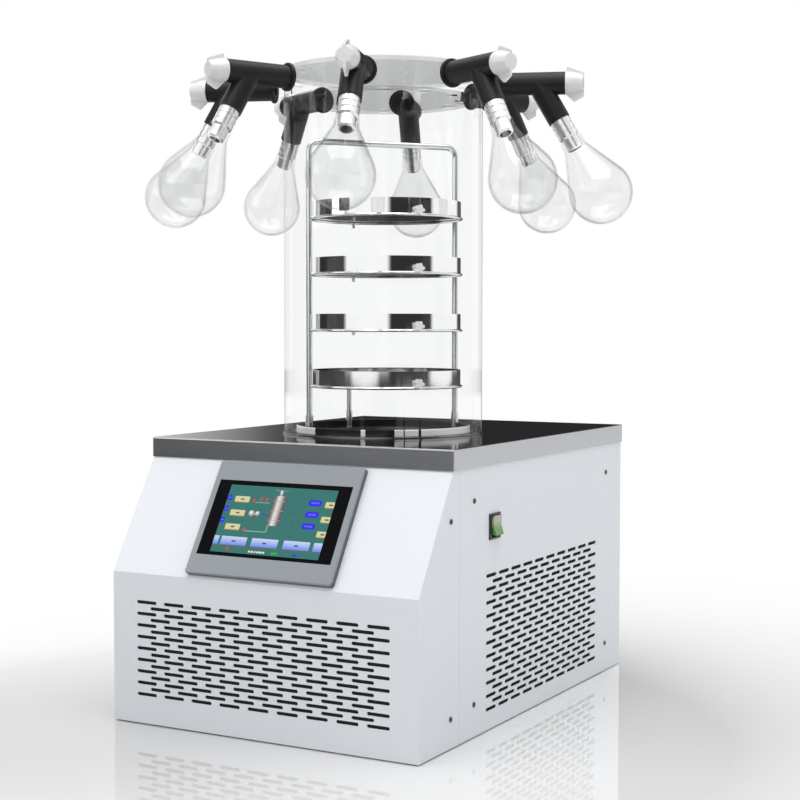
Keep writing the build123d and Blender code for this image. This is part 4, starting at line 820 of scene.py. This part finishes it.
class FREEZEDRYER_OT_screws(Operator):
    """Make the panel screws with their cross recess"""

    bl_idname = "freeze_dryer.screws"
    bl_label = "Panel screws"

    def execute(self, context):
        steel = grained([], "Dark screw steel", (0.10, 0.10, 0.105), 0.38, metallic=1.0, cloud=300.0)
        mesh = bmesh.new()
        for low, high in solids_of("panel_screws"):
            size = high - low
            centre = (low + high) / 2
            thin = min(range(3), key=lambda axis: size[axis])
            out = Vector((0, 0, 0))
            out[thin] = 1 if centre[thin] > 0 else -1
            centre[thin] -= out[thin] * size[thin] / 2
            gather(mesh, self.head(), frame_at(centre, (0, 0, 1), out))
        add_piece("cross_recess_screws", mesh, [steel], ["panel_screws"])
        return {"FINISHED"}

    def head(self):
        """Domed head, its flat under face at the origin, with a sunk cross."""
        size = sizes()
        near_top = size.screw_height * 0.9
        half = size.recess_width / 2
        mesh = bmesh.new()
        bmesh.ops.create_cone(
            mesh, cap_ends=True, cap_tris=False, segments=24, radius1=size.screw_radius,
            radius2=size.screw_radius, depth=size.screw_height,
        )
        bmesh.ops.translate(mesh, verts=mesh.verts[:], vec=(0, 0, size.screw_height / 2))
        rim = [edge for edge in mesh.edges if all(vert.co.z > near_top for vert in edge.verts)]
        round_off(mesh, rim, size.screw_height * 0.6, 3)
        for axis in (Vector((1, 0, 0)), Vector((0, 1, 0))):
            for cut in (-size.recess_reach, -half, half, size.recess_reach):
                top = [face for face in mesh.faces if face.normal.z > FACING_UP]
                edges = list(dict.fromkeys(edge for face in top for edge in face.edges))
                corners = list(dict.fromkeys(vert for face in top for vert in face.verts))
                bmesh.ops.bisect_plane(
                    mesh, geom=top + edges + corners, plane_co=axis * cut, plane_no=axis, dist=1e-7
                )
        sunk = []
        for face in mesh.faces:
            spot = face.calc_center_median()
            across, along = sorted((abs(spot.x), abs(spot.y)))
            inside = across < half and along < size.recess_reach
            if face.normal.z > FACING_UP and spot.z > near_top and inside:
                sunk.append(face)
        pushed = bmesh.ops.extrude_face_region(mesh, geom=sunk)
        bmesh.ops.delete(mesh, geom=sunk, context="FACES")
        moved = [item for item in pushed["geom"] if isinstance(item, bmesh.types.BMVert)]
        bmesh.ops.translate(mesh, verts=moved, vec=(0, 0, -size.recess_depth))
        in_fixed_order(mesh)
        return mesh


# ---------------------------------------------------------------- controls
class FREEZEDRYER_OT_controls(Operator):
    """Finish the display frame, its glass, the mains switch, inlet and control board"""

    bl_idname = "freeze_dryer.controls"
    bl_label = "Controls"

    def execute(self, context):
        paint(self.frame_grey(), ["display_bezel"])
        grained(
            ["display_glass"], "Display glass", (0.003, 0.003, 0.004), 0.06, spread=0.03, bump=0.0,
            specular=0.05,
        )
        grained(["display_module"], "Display module", (0.03, 0.03, 0.035), 0.5)
        grained(
            ["switch_body", "power_inlet"], "Moulded black", colours().black, 0.30, spread=0.08,
            grain=1800.0,
        )
        paint(self.rocker(), ["switch_rocker"])
        grained(["control_board"], "Circuit board", (0.012, 0.10, 0.04), 0.35, cloud=160.0, depth=0.5)
        return {"FINISHED"}

    def frame_grey(self):
        """Satin grey moulding, with painted shade darkening its side faces."""
        material, tree, shader, vector, finish = start_finish(
            "Moulded grey frame", grain_group(), {"Roughness": 0.34, "Grain size": 1500.0},
            {"Metallic": 0.35, "Specular IOR Level": 0.6},
        )
        face = max(NODES["display_bezel"].data.polygons, key=lambda side: side.area)
        outwards = face.normal * (-1 if face.normal.y > 0 else 1)
        lean = vector_maths(tree, "DOT_PRODUCT", surface_normal(tree), outwards)["Value"]
        # Painted shade: faces that lean away from the front get 0.4 of the grey.
        grey = colours().bezel
        side = [0.4 * level for level in grey]
        fill(tree, finish, {"Colour": blend_colours(tree, mapped(tree, lean, 0.2, 0.6), side, grey)})
        relief(tree, finish.outputs["Height"], shader, FINE_RELIEF)
        return material

    def rocker(self):
        """Clear green rocker, paler towards its upper end."""
        material, tree, shader, vector, finish = start_finish(
            "Lit green rocker", grain_group(), {"Roughness": 0.10},
            {"Transmission Weight": 0.45, "Coat Weight": 0.5},
        )
        low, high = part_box("switch_rocker")
        ends = [low.z + (high.z - low.z) * share for share in (0.25, 0.75)]
        rise = mapped(tree, split_vector(tree, vector)["Z"], *ends, how="SMOOTHSTEP")
        fill(tree, finish, {"Colour": blend_colours(tree, rise, colours().rocker, (0.58, 0.66, 0.50))})
        return material


# Colours of the screen's tones; a blend has several, in order.
TONES = {
    "cream": ((0.70, 0.64, 0.36),),
    "amber": ((0.30, 0.24, 0.09),),
    "blue": ((0.035, 0.03, 0.80),),
    "light blue": ((0.17, 0.19, 0.90),),
    "button": ((0.62, 0.68, 0.93), (0.36, 0.47, 0.90), (0.14, 0.25, 0.76)),
    "vessel": (
        (0.10, 0.085, 0.085), (0.26, 0.23, 0.23), (0.78, 0.78, 0.77), (0.55, 0.53, 0.53),
        (0.20, 0.165, 0.165), (0.10, 0.08, 0.08),
    ),
    "steel": ((0.42, 0.40, 0.40),),
    "white": ((0.80, 0.82, 0.80),),
    "pipe": ((0.34, 0.40, 0.40),),
    "shade": ((0.10, 0.09, 0.08),),
    "faint": ((0.055, 0.14, 0.135),),
    "red": ((0.72, 0.06, 0.03),),
    "dark red": ((0.22, 0.09, 0.10),),
    "green": ((0.03, 0.47, 0.05),),
}
# Where the blends run: whether across instead of down, and from where to where.
BLENDS = {"button": (False, (0.765, 0.89)), "vessel": (True, (0.438, 0.556))}
# Tiles of the picture: tone, layer, width, height, rounding of the corners and the places of
# their middles, across and down, all as shares of the picture. A tile without a height is a
# disc, and its width is then its radius as a share of the picture's height.
PICTURE = (
    ("teal", 0, 1.0, 1.0, 0, ((0.5, 0.5),)),
    ("pipe", 1, 0.13, 0.011, 0, ((0.345, 0.243),)),
    ("pipe", 1, 0.19, 0.014, 0, ((0.355, 0.668),)),
    ("pipe", 1, 0.010, 0.10, 0, ((0.456, 0.620),)),
    ("blue", 1, 0.055, 0.014, 0, ((0.400, 0.418),)),
    ("pipe", 1, 0.13, 0.008, 0, ((0.500, 0.050),)),
    ("dark red", 1, 0.05, 0.008, 0, ((0.540, 0.050),)),
    ("vessel", 2, 0.118, 0.44, 0.12, ((0.497, 0.350),)),
    ("steel", 1, 0.026, 0.085, 0.2, ((0.494, 0.092),)),
    ("white", 2, 0.014, 0.05, 0.2, ((0.492, 0.075),)),
    ("steel", 3, 0.118, 0.006, 0, ((0.497, 0.21), (0.497, 0.35), (0.497, 0.49))),
    ("steel", 2, 0.045, None, 0, ((0.272, 0.405),)),
    ("white", 3, 0.045 * 0.55, None, 0, ((0.268, 0.397),)),
    ("steel", 2, 0.036, None, 0, ((0.328, 0.405),)),
    ("white", 3, 0.036 * 0.55, None, 0, ((0.324, 0.397),)),
    ("steel", 1, 0.06, 0.03, 0, ((0.300, 0.415),)),
    ("dark red", 2, 0.036, 0.022, 0.3, ((0.245, 0.452),)),
    ("dark red", 2, 0.030, 0.020, 0.3, ((0.310, 0.460),)),
    ("amber", 2, 0.137, 0.088, 0.08, ((0.149, 0.218), (0.144, 0.422), (0.139, 0.630))),
    ("cream", 3, 0.137, 0.083, 0.08, ((0.145, 0.208), (0.140, 0.412), (0.135, 0.620))),
    ("shade", 4, 0.034, 0.020, 0.3, ((0.148, 0.210), (0.143, 0.414), (0.138, 0.622))),
    ("blue", 3, 0.042, 0.080, 0.3, ((0.024, 0.197), (0.022, 0.360), (0.020, 0.525))),
    ("light blue", 4, 0.022, 0.014, 0, ((0.024, 0.197), (0.022, 0.360), (0.020, 0.525))),
    ("red", 4, 0.020, None, 0, ((0.262, 0.230), (0.326, 0.198), (0.377, 0.198), (0.250, 0.658))),
    ("red", 4, 0.018, 0.018, 0, ((0.262, 0.210), (0.326, 0.178), (0.377, 0.178), (0.250, 0.638))),
    ("dark red", 3, 0.010, 0.030, 0, (
        (0.262, 0.182), (0.326, 0.150), (0.377, 0.150), (0.250, 0.610),
    )),
    ("blue", 3, 0.124, 0.088, 0.45, ((0.826, 0.200), (0.826, 0.370), (0.826, 0.540))),
    ("light blue", 4, 0.012, 0.026, 0, [
        (u, v) for v in (0.200, 0.370, 0.540) for u in (0.798, 0.817, 0.836, 0.855)
    ]),
    ("amber", 2, 0.076, 0.088, 0.08, ((0.962, 0.224), (0.962, 0.438), (0.962, 0.650))),
    ("cream", 3, 0.080, 0.083, 0.08, ((0.960, 0.214), (0.960, 0.428), (0.960, 0.640))),
    ("shade", 4, 0.034, 0.020, 0.3, ((0.972, 0.216), (0.972, 0.430), (0.972, 0.642))),
    ("faint", 1, 0.040, 0.022, 0, ((0.680, 0.185), (0.665, 0.360), (0.675, 0.530), (0.685, 0.700))),
    ("dark red", 1, 1.0, 0.010, 0, ((0.5, 0.905),)),
    ("button", 3, 0.047, 0.125, 0.06, ((0.0235, 0.827),)),
    ("button", 3, 0.240, 0.125, 0.06, ((0.190, 0.827),)),
    ("button", 3, 0.244, 0.125, 0.06, ((0.478, 0.827),)),
    ("button", 3, 0.239, 0.125, 0.06, ((0.7705, 0.827),)),
    ("button", 3, 0.075, 0.125, 0.06, ((0.9625, 0.827),)),
    ("shade", 4, 0.038, 0.022, 0.3, ((0.190, 0.830), (0.478, 0.830), (0.7705, 0.830))),
    ("white", 3, 0.016, 0.026, 0, ((0.362, 0.962), (0.497, 0.962))),
    ("white", 3, 0.022, 0.026, 0, ((0.389, 0.962),)),
    ("white", 3, 0.014, 0.026, 0, ((0.416, 0.962),)),
    ("white", 3, 0.020, 0.026, 0, ((0.443, 0.962),)),
    ("white", 3, 0.024, 0.026, 0, ((0.470, 0.962),)),
    ("green", 3, 0.058, 0.030, 0.2, ((0.594, 0.963),)),
    ("red", 3, 0.032, 0.026, 0.2, ((0.154, 0.945),)),
    ("blue", 3, 0.045, 0.024, 0.2, ((0.780, 0.965),)),
)


class FREEZEDRYER_OT_screen(Operator):
    """Draw the plant picture on the display, without words"""

    bl_idname = "freeze_dryer.screen"
    bl_label = "Screen picture"

    def execute(self, context):
        glass = NODES["display_glass"].data
        normal = max(glass.polygons, key=lambda face: face.area).normal.copy()
        if normal.y > 0:
            normal.negate()
        low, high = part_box("display_glass")
        middle = (low + high) / 2
        thickness = min(abs((vert.co - middle).dot(normal)) for vert in glass.vertices)
        upwards = normal.cross(Vector((1, 0, 0))).normalized()
        if upwards.z < 0:
            upwards.negate()
        half_height = max(abs((vert.co - middle).dot(upwards)) for vert in glass.vertices)
        size = sizes()
        corner = middle + normal * thickness + upwards * (half_height - size.picture_top)
        corner.x = high.x - size.picture_right - size.picture_width
        self.place = frame_at(corner, (1, 0, 0), normal)
        self.mesh = bmesh.new()
        self.tones = []
        self.draw_picture()
        add_piece("screen_picture", self.mesh, self.tones, crease=60.0)
        return {"FINISHED"}

    def tone(self, name, levels, across=False, span=(0.0, 1.0)):
        """Glowing colour, or colours blended over a span across or down; returns its slot."""
        material, tree, shader, vector = start_material(f"Screen {name}")
        size = sizes()
        axis = 0 if across else 2
        ends = [
            (self.place @ Vector((share * size.picture_width, -share * size.picture_height, 0)))[axis]
            for share in span
        ]
        over = mapped(tree, split_vector(tree, vector)[axis], *ends)
        ramp = add(tree, "ValToRGB", {0: over})
        stops = ramp.color_ramp.elements
        stops[1].position = 1.0
        for step in range(1, len(levels) - 1):
            stops.new(step / (len(levels) - 1))
        for stop, level in zip(stops, levels if len(levels) > 1 else levels * 2):
            stop.color = opaque(level)
        dots = add(tree, "TexWave", {"Vector": vector, "Scale": 900.0, "Distortion": 0.0})
        fine = even_grey(tree, maths(tree, "MULTIPLY_ADD", dots.outputs["Fac"], 0.05, 0.975))
        lit = blend_colours(tree, 1.0, fine, ramp.outputs[0], "MULTIPLY")
        fill(tree, shader, {
            "Base Color": blend_colours(tree, 1.0, lit, (0.12, 0.12, 0.12), "MULTIPLY"),
            "Roughness": 0.12, "Specular IOR Level": 0.15,
            "Emission Color": lit, "Emission Strength": 0.85,
        })
        self.tones.append(material)
        return len(self.tones) - 1

    def tile(self, slot, layer, width, height, corner, u, v):
        """Lay one thin plate or disc on the picture."""
        size = sizes()
        step = size.picture_step
        mesh = bmesh.new()
        if height is None:
            wide = width * size.picture_height
            bmesh.ops.create_cone(
                mesh, cap_ends=True, segments=24, radius1=wide, radius2=wide, depth=step
            )
        else:
            wide, high = width * size.picture_width, height * size.picture_height
            bmesh.ops.create_cube(mesh, size=1.0)
            bmesh.ops.scale(mesh, verts=mesh.verts[:], vec=(wide, high, step))
        if corner:
            uprights = [
                edge for edge in mesh.edges if abs(edge.verts[0].co.z - edge.verts[1].co.z) > step / 2
            ]
            round_off(mesh, uprights, corner * min(wide, high), 4)
        at = Matrix.Translation((u * size.picture_width, -v * size.picture_height, (layer + 0.5) * step))
        gather(self.mesh, mesh, self.place @ at, slot)

    def draw_picture(self):
        """Background, vessel, pump, pipes, value boxes and buttons."""
        slots = {"teal": self.tone("teal", [colours().screen])}
        for name, levels in TONES.items():
            slots[name] = self.tone(name, levels, *BLENDS.get(name, ()))
        for name, layer, width, height, corner, places in PICTURE:
            for u, v in places:
                self.tile(slots[name], layer, width, height, corner, u, v)


# ---------------------------------------------------------------- cold trap and cooling
# Painted reflection on the collar's outside, in degrees round it from the right: a dark band, bright
# glints across it and thin dark lines.
DARK_REFLECTION_ARC = (-110.0, -49.8)
GLINT_ARCS = ((-74.8, -71.9), (-53.4, -49.0))
DARK_LINE_ARCS = ((-47.6, -46.8), (-37.6, -35.8))


class FREEZEDRYER_OT_cooling(Operator):
    """Finish the cold trap, coil, compressor, condenser, fan, pipes and drain"""

    bl_idname = "freeze_dryer.cooling"
    bl_label = "Cold trap and cooling"

    def execute(self, context):
        brushed(
            ["trap_vessel", "vacuum_port", "fan_motor"], "Drawn trap steel", (0.60, 0.61, 0.62), 0.22,
            stretch=(8.0, 8.0, 1200.0),
        )
        grained(
            ["evaporator_coil", "refrigerant_lines"], "Copper pipe", (0.72, 0.32, 0.17), 0.28,
            spread=0.15, cloud=60.0, depth=0.25, metallic=1.0,
        )
        grained(
            ["trap_insulation"], "Insulation foam", (0.62, 0.55, 0.36), 0.85, cloud=40.0, depth=0.2,
            grain=350.0, bump=0.0004,
        )
        grained(
            ["compressor", "fan_shroud"], "Black enamel", (0.018, 0.018, 0.02), 0.3, spread=0.1, coat=0.4
        )
        grained(["fan_rotor"], "Moulded fan black", (0.02, 0.02, 0.022), 0.45)
        brushed(
            ["condenser"], "Rolled aluminium", (0.78, 0.79, 0.80), 0.3, stretch=(900.0, 14.0, 14.0)
        )
        grained(
            ["drain_valve"], "Valve brass", (0.66, 0.47, 0.20), 0.25, spread=0.12, cloud=80.0,
            metallic=1.0,
        )
        grained(["drain_lever"], "Red lever sleeve", (0.42, 0.02, 0.02), 0.35, coat=0.3)
        paint(self.collar(), ["trap_collar"])
        return {"FINISHED"}

    def collar(self):
        """Satin steel outside with a painted dark reflection band, painted glints and thin dark lines,
        and painted black shade on its top and inside.
        """
        low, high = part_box("trap_collar")
        material, tree, shader, vector = start_material("Collar steel with painted reflection and shade")
        steel = grouped(tree, vector, grain_group(), {
            "Colour": (1.0, 1.0, 1.0), "Cloud size": 25.0, "Roughness": 0.3, "Roughness spread": 0.04,
        }).outputs
        out = vector_maths(tree, "SUBTRACT", vector, (low + high) / 2)[0]
        outwards = vector_maths(tree, "DOT_PRODUCT", out, surface_normal(tree))["Value"]
        turn = plan_turn(tree, split_vector(tree, out))
        # Painted reflection: the dark band is near black, with steel glints in it and thin dark lines
        # beside it.
        metal = maths(tree, "SUBTRACT", 1.0, self.arc(tree, turn, *DARK_REFLECTION_ARC))
        for glint in GLINT_ARCS:
            metal = maths(tree, "MAXIMUM", metal, self.arc(tree, turn, *glint))
        for dark_line in DARK_LINE_ARCS:
            metal = maths(tree, "SUBTRACT", metal, self.arc(tree, turn, *dark_line))
        # Painted shade: the top and inside faces are near black.
        outside = maths(tree, "GREATER_THAN", outwards, (high.x - low.x) * 0.2)
        bare = maths(tree, "MULTIPLY", outside, metal)
        painted_dark_rough = maths(tree, "MULTIPLY_ADD", bare, -0.45, 0.45)
        fill(tree, shader, {
            "Base Color": blend_colours(tree, bare, NEAR_BLACK, steel["Colour"]),
            "Metallic": maths(tree, "MULTIPLY", bare, 0.12),
            "Roughness": maths(tree, "MAXIMUM", steel["Roughness"], painted_dark_rough),
            "Specular IOR Level": 0.2,
        })
        return material

    def arc(self, tree, turn, first, last):
        """1 where a turn in radians lies between two angles in degrees."""
        return maths(tree, "COMPARE", turn, radians((first + last) / 2), radians((last - first) / 2))


# ---------------------------------------------------------------- chamber
OUTSIDE_DEPTH = 0.004    # what lies no deeper in the chamber's wall counts as its outside


class FREEZEDRYER_OT_chamber(Operator):
    """Finish the clear chamber, its plates and its port stubs"""

    bl_idname = "freeze_dryer.chamber"
    bl_label = "Drying chamber"

    def execute(self, context):
        see_through(
            ["chamber_cylinder", "port_stubs"], "Clear acrylic", (0.987, 0.989, 0.989), index=1.4,
            film_where=self.outer_wall,
        )
        see_through(["head_plate", "baffle_plate"], "Tinted acrylic", colours().plate_tint)
        clear(
            ["chamber_gasket"], "Clear silicone", (0.5, 0.5, 0.5), (0.86, 0.87, 0.87), index=1.3,
            roughness=0.25, spread=0.1,
        )
        return {"FINISHED"}

    def outer_wall(self, tree, vector):
        """1 on the outside of the chamber's wall; the bore shows through unbroken."""
        low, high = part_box("chamber_cylinder")
        within = (high.x - low.x) / 2 - OUTSIDE_DEPTH
        return maths(tree, "GREATER_THAN", from_chamber_axis(tree, vector), within)


# ---------------------------------------------------------------- rack and trays
FLAT_ENOUGH = 0.8    # upward part of a normal that makes a face part of a tray's floor


class FREEZEDRYER_OT_rack(Operator):
    """Finish the rack, its trays and their pulls"""

    bl_idname = "freeze_dryer.rack"
    bl_label = "Rack and trays"

    def execute(self, context):
        steel = {"spread": 0.08, "cloud": 30.0, "metallic": 1.0, "bump": 0.000003}
        grained(["tray_rings"], "Bright rack steel", (0.82, 0.83, 0.84), 0.08, **steel)
        grained(["rack_frame"], "Satin rod steel", (0.82, 0.83, 0.84), 0.2, **steel)
        grained(
            ["tray_pulls"], "Cast pull steel", (1.0, 1.0, 1.0), 0.2, spread=0.1, cloud=200.0,
            metallic=0.1, coat=0.5,
        )
        self.dull_floors_and_shade_undersides(grained(
            ["tray_1", "tray_2", "tray_3", "tray_4"], "Drawn tray steel", (0.97, 0.97, 0.975), 0.05,
            spread=0.05, cloud=20.0, metallic=1.0, bump=0.000003,
        ))
        return {"FINISHED"}

    def dull_floors_and_shade_undersides(self, material):
        """Leave the trays' flat floors duller than their polished walls, and paint shade on their
        undersides.
        """
        tree = material.node_tree
        lean = split_vector(tree, surface_normal(tree))["Z"]
        # Painted shade: the undersides are darkened to 0.30.
        refinish(material, maths(tree, "LESS_THAN", lean, -FLAT_ENOUGH), (0.30, 0.30, 0.305), 0.0)
        refinish(material, maths(tree, "GREATER_THAN", lean, FLAT_ENOUGH), (0.55, 0.56, 0.57), 0.3)


# ---------------------------------------------------------------- manifold
class FREEZEDRYER_OT_manifold(Operator):
    """Finish the valve bodies, knobs and flask adapters"""

    bl_idname = "freeze_dryer.manifold"
    bl_label = "Valves and knobs"

    def execute(self, context):
        grained(
            ["valve_bodies"], "Valve rubber", colours().black, 0.36, cloud=40.0, depth=0.1,
            bump=0.000008, specular=0.2,
        )
        self.shade_bores(grained(
            ["flask_adapters"], "Bright adapter", (0.98, 0.98, 0.98), 0.2, metallic=ADAPTER_METAL,
            bump=0.000002,
        ))
        grained(
            [f"knob_{port}" for port in PORTS], "White knob", colours().knob, 0.28, cloud=30.0,
            depth=0.02, coat=0.2, bump=0.000005,
        )
        return {"FINISHED"}

    def shade_bores(self, material):
        """Paint shade into the adapters' bores as near black, found by the distance from each branch's
        own axis.
        """
        tree = material.node_tree
        vector = tree.nodes["Texture Coordinate"].outputs["Object"]
        parts = split_vector(tree, vector_maths(tree, "SUBTRACT", vector, chamber_foot())[0])
        turn = maths(tree, "SUBTRACT", plan_turn(tree, parts), FIRST_PORT)
        turn = maths(tree, "WRAP", turn, HALF_PORT_STEP, -HALF_PORT_STEP)
        reach = from_chamber_axis(tree, vector)
        aside = maths(tree, "MULTIPLY", reach, maths(tree, "SINE", turn))
        ahead = maths(tree, "MULTIPLY", reach, maths(tree, "COSINE", turn))
        lifted = maths(tree, "MULTIPLY_ADD", parts["Z"], sin(BRANCH_TILT), -BRANCH_HEIGHT)
        over = maths(tree, "MULTIPLY_ADD", ahead, cos(BRANCH_TILT), lifted)
        squares = maths(tree, "MULTIPLY_ADD", over, over, maths(tree, "MULTIPLY", aside, aside))
        bore = maths(tree, "LESS_THAN", squares, BORE_RADIUS**2)
        # Painted shade: the bores are near black and not metallic.
        refinish(material, bore, NEAR_BLACK, 0.6)
        metal = maths(tree, "MULTIPLY_ADD", bore, -ADAPTER_METAL, ADAPTER_METAL)
        fill(tree, tree.nodes["Principled BSDF"], {"Metallic": metal})


class FREEZEDRYER_OT_flasks(Operator):
    """Finish the clear flasks"""

    bl_idname = "freeze_dryer.flasks"
    bl_label = "Flasks"

    def execute(self, context):
        see_through(
            [f"flask_{port}" for port in PORTS], "Flask glass", (0.98, 0.981, 0.982), grazing=0.6,
            index=1.45, mirror=0.75, film_where=self.below_neck,
        )
        return {"FINISHED"}

    def below_neck(self, tree, vector):
        """0 on the necks around the adapters, 1 on the cones and balls."""
        outwards = maths(tree, "MULTIPLY", from_chamber_axis(tree, vector), sin(BRANCH_TILT))
        height = split_vector(tree, vector)["Z"]
        along = maths(tree, "MULTIPLY_ADD", height, -cos(BRANCH_TILT), outwards)
        return mapped(tree, along, NECK_START, NECK_START + 0.01)


OPERATORS = (
    FREEZEDRYER_OT_stage,
    FREEZEDRYER_OT_cabinet,
    FREEZEDRYER_OT_screws,
    FREEZEDRYER_OT_controls,
    FREEZEDRYER_OT_screen,
    FREEZEDRYER_OT_cooling,
    FREEZEDRYER_OT_chamber,
    FREEZEDRYER_OT_rack,
    FREEZEDRYER_OT_manifold,
    FREEZEDRYER_OT_flasks,
)
SETTINGS = (
    ("freeze_dryer_colours", FreezeDryerColours),
    ("freeze_dryer_sizes", FreezeDryerSizes),
    ("freeze_dryer_studio", FreezeDryerStudio),
)


class FREEZEDRYER_PT_sidebar(Panel):
    """Lists the freeze dryer's settings and steps"""

    bl_label = "Freeze Dryer"
    bl_idname = "FREEZEDRYER_PT_sidebar"
    bl_space_type = "VIEW_3D"
    bl_region_type = "UI"
    bl_category = "Freeze Dryer"

    def draw(self, context):
        for operator in OPERATORS:
            self.layout.operator(operator.bl_idname)
        for attribute, group in SETTINGS:
            box = self.layout.box()
            for name in group.__annotations__:
                box.prop(getattr(context.scene, attribute), name)


def register():
    """Make the settings, operators and panel known."""
    for attribute, group in SETTINGS:
        bpy.utils.register_class(group)
        setattr(bpy.types.Scene, attribute, PointerProperty(type=group))
    for shown in (*OPERATORS, FREEZEDRYER_PT_sidebar):
        bpy.utils.register_class(shown)


def unregister():
    """Take them away again."""
    for shown in reversed((*OPERATORS, FREEZEDRYER_PT_sidebar)):
        bpy.utils.unregister_class(shown)
    for attribute, group in reversed(SETTINGS):
        delattr(bpy.types.Scene, attribute)
        bpy.utils.unregister_class(group)


def main():
    """Run every step in order."""
    register()
    for operator in OPERATORS:
        area, step = operator.bl_idname.split(".")
        getattr(getattr(bpy.ops, area), step)()


if __name__ == "__main__":
    main()
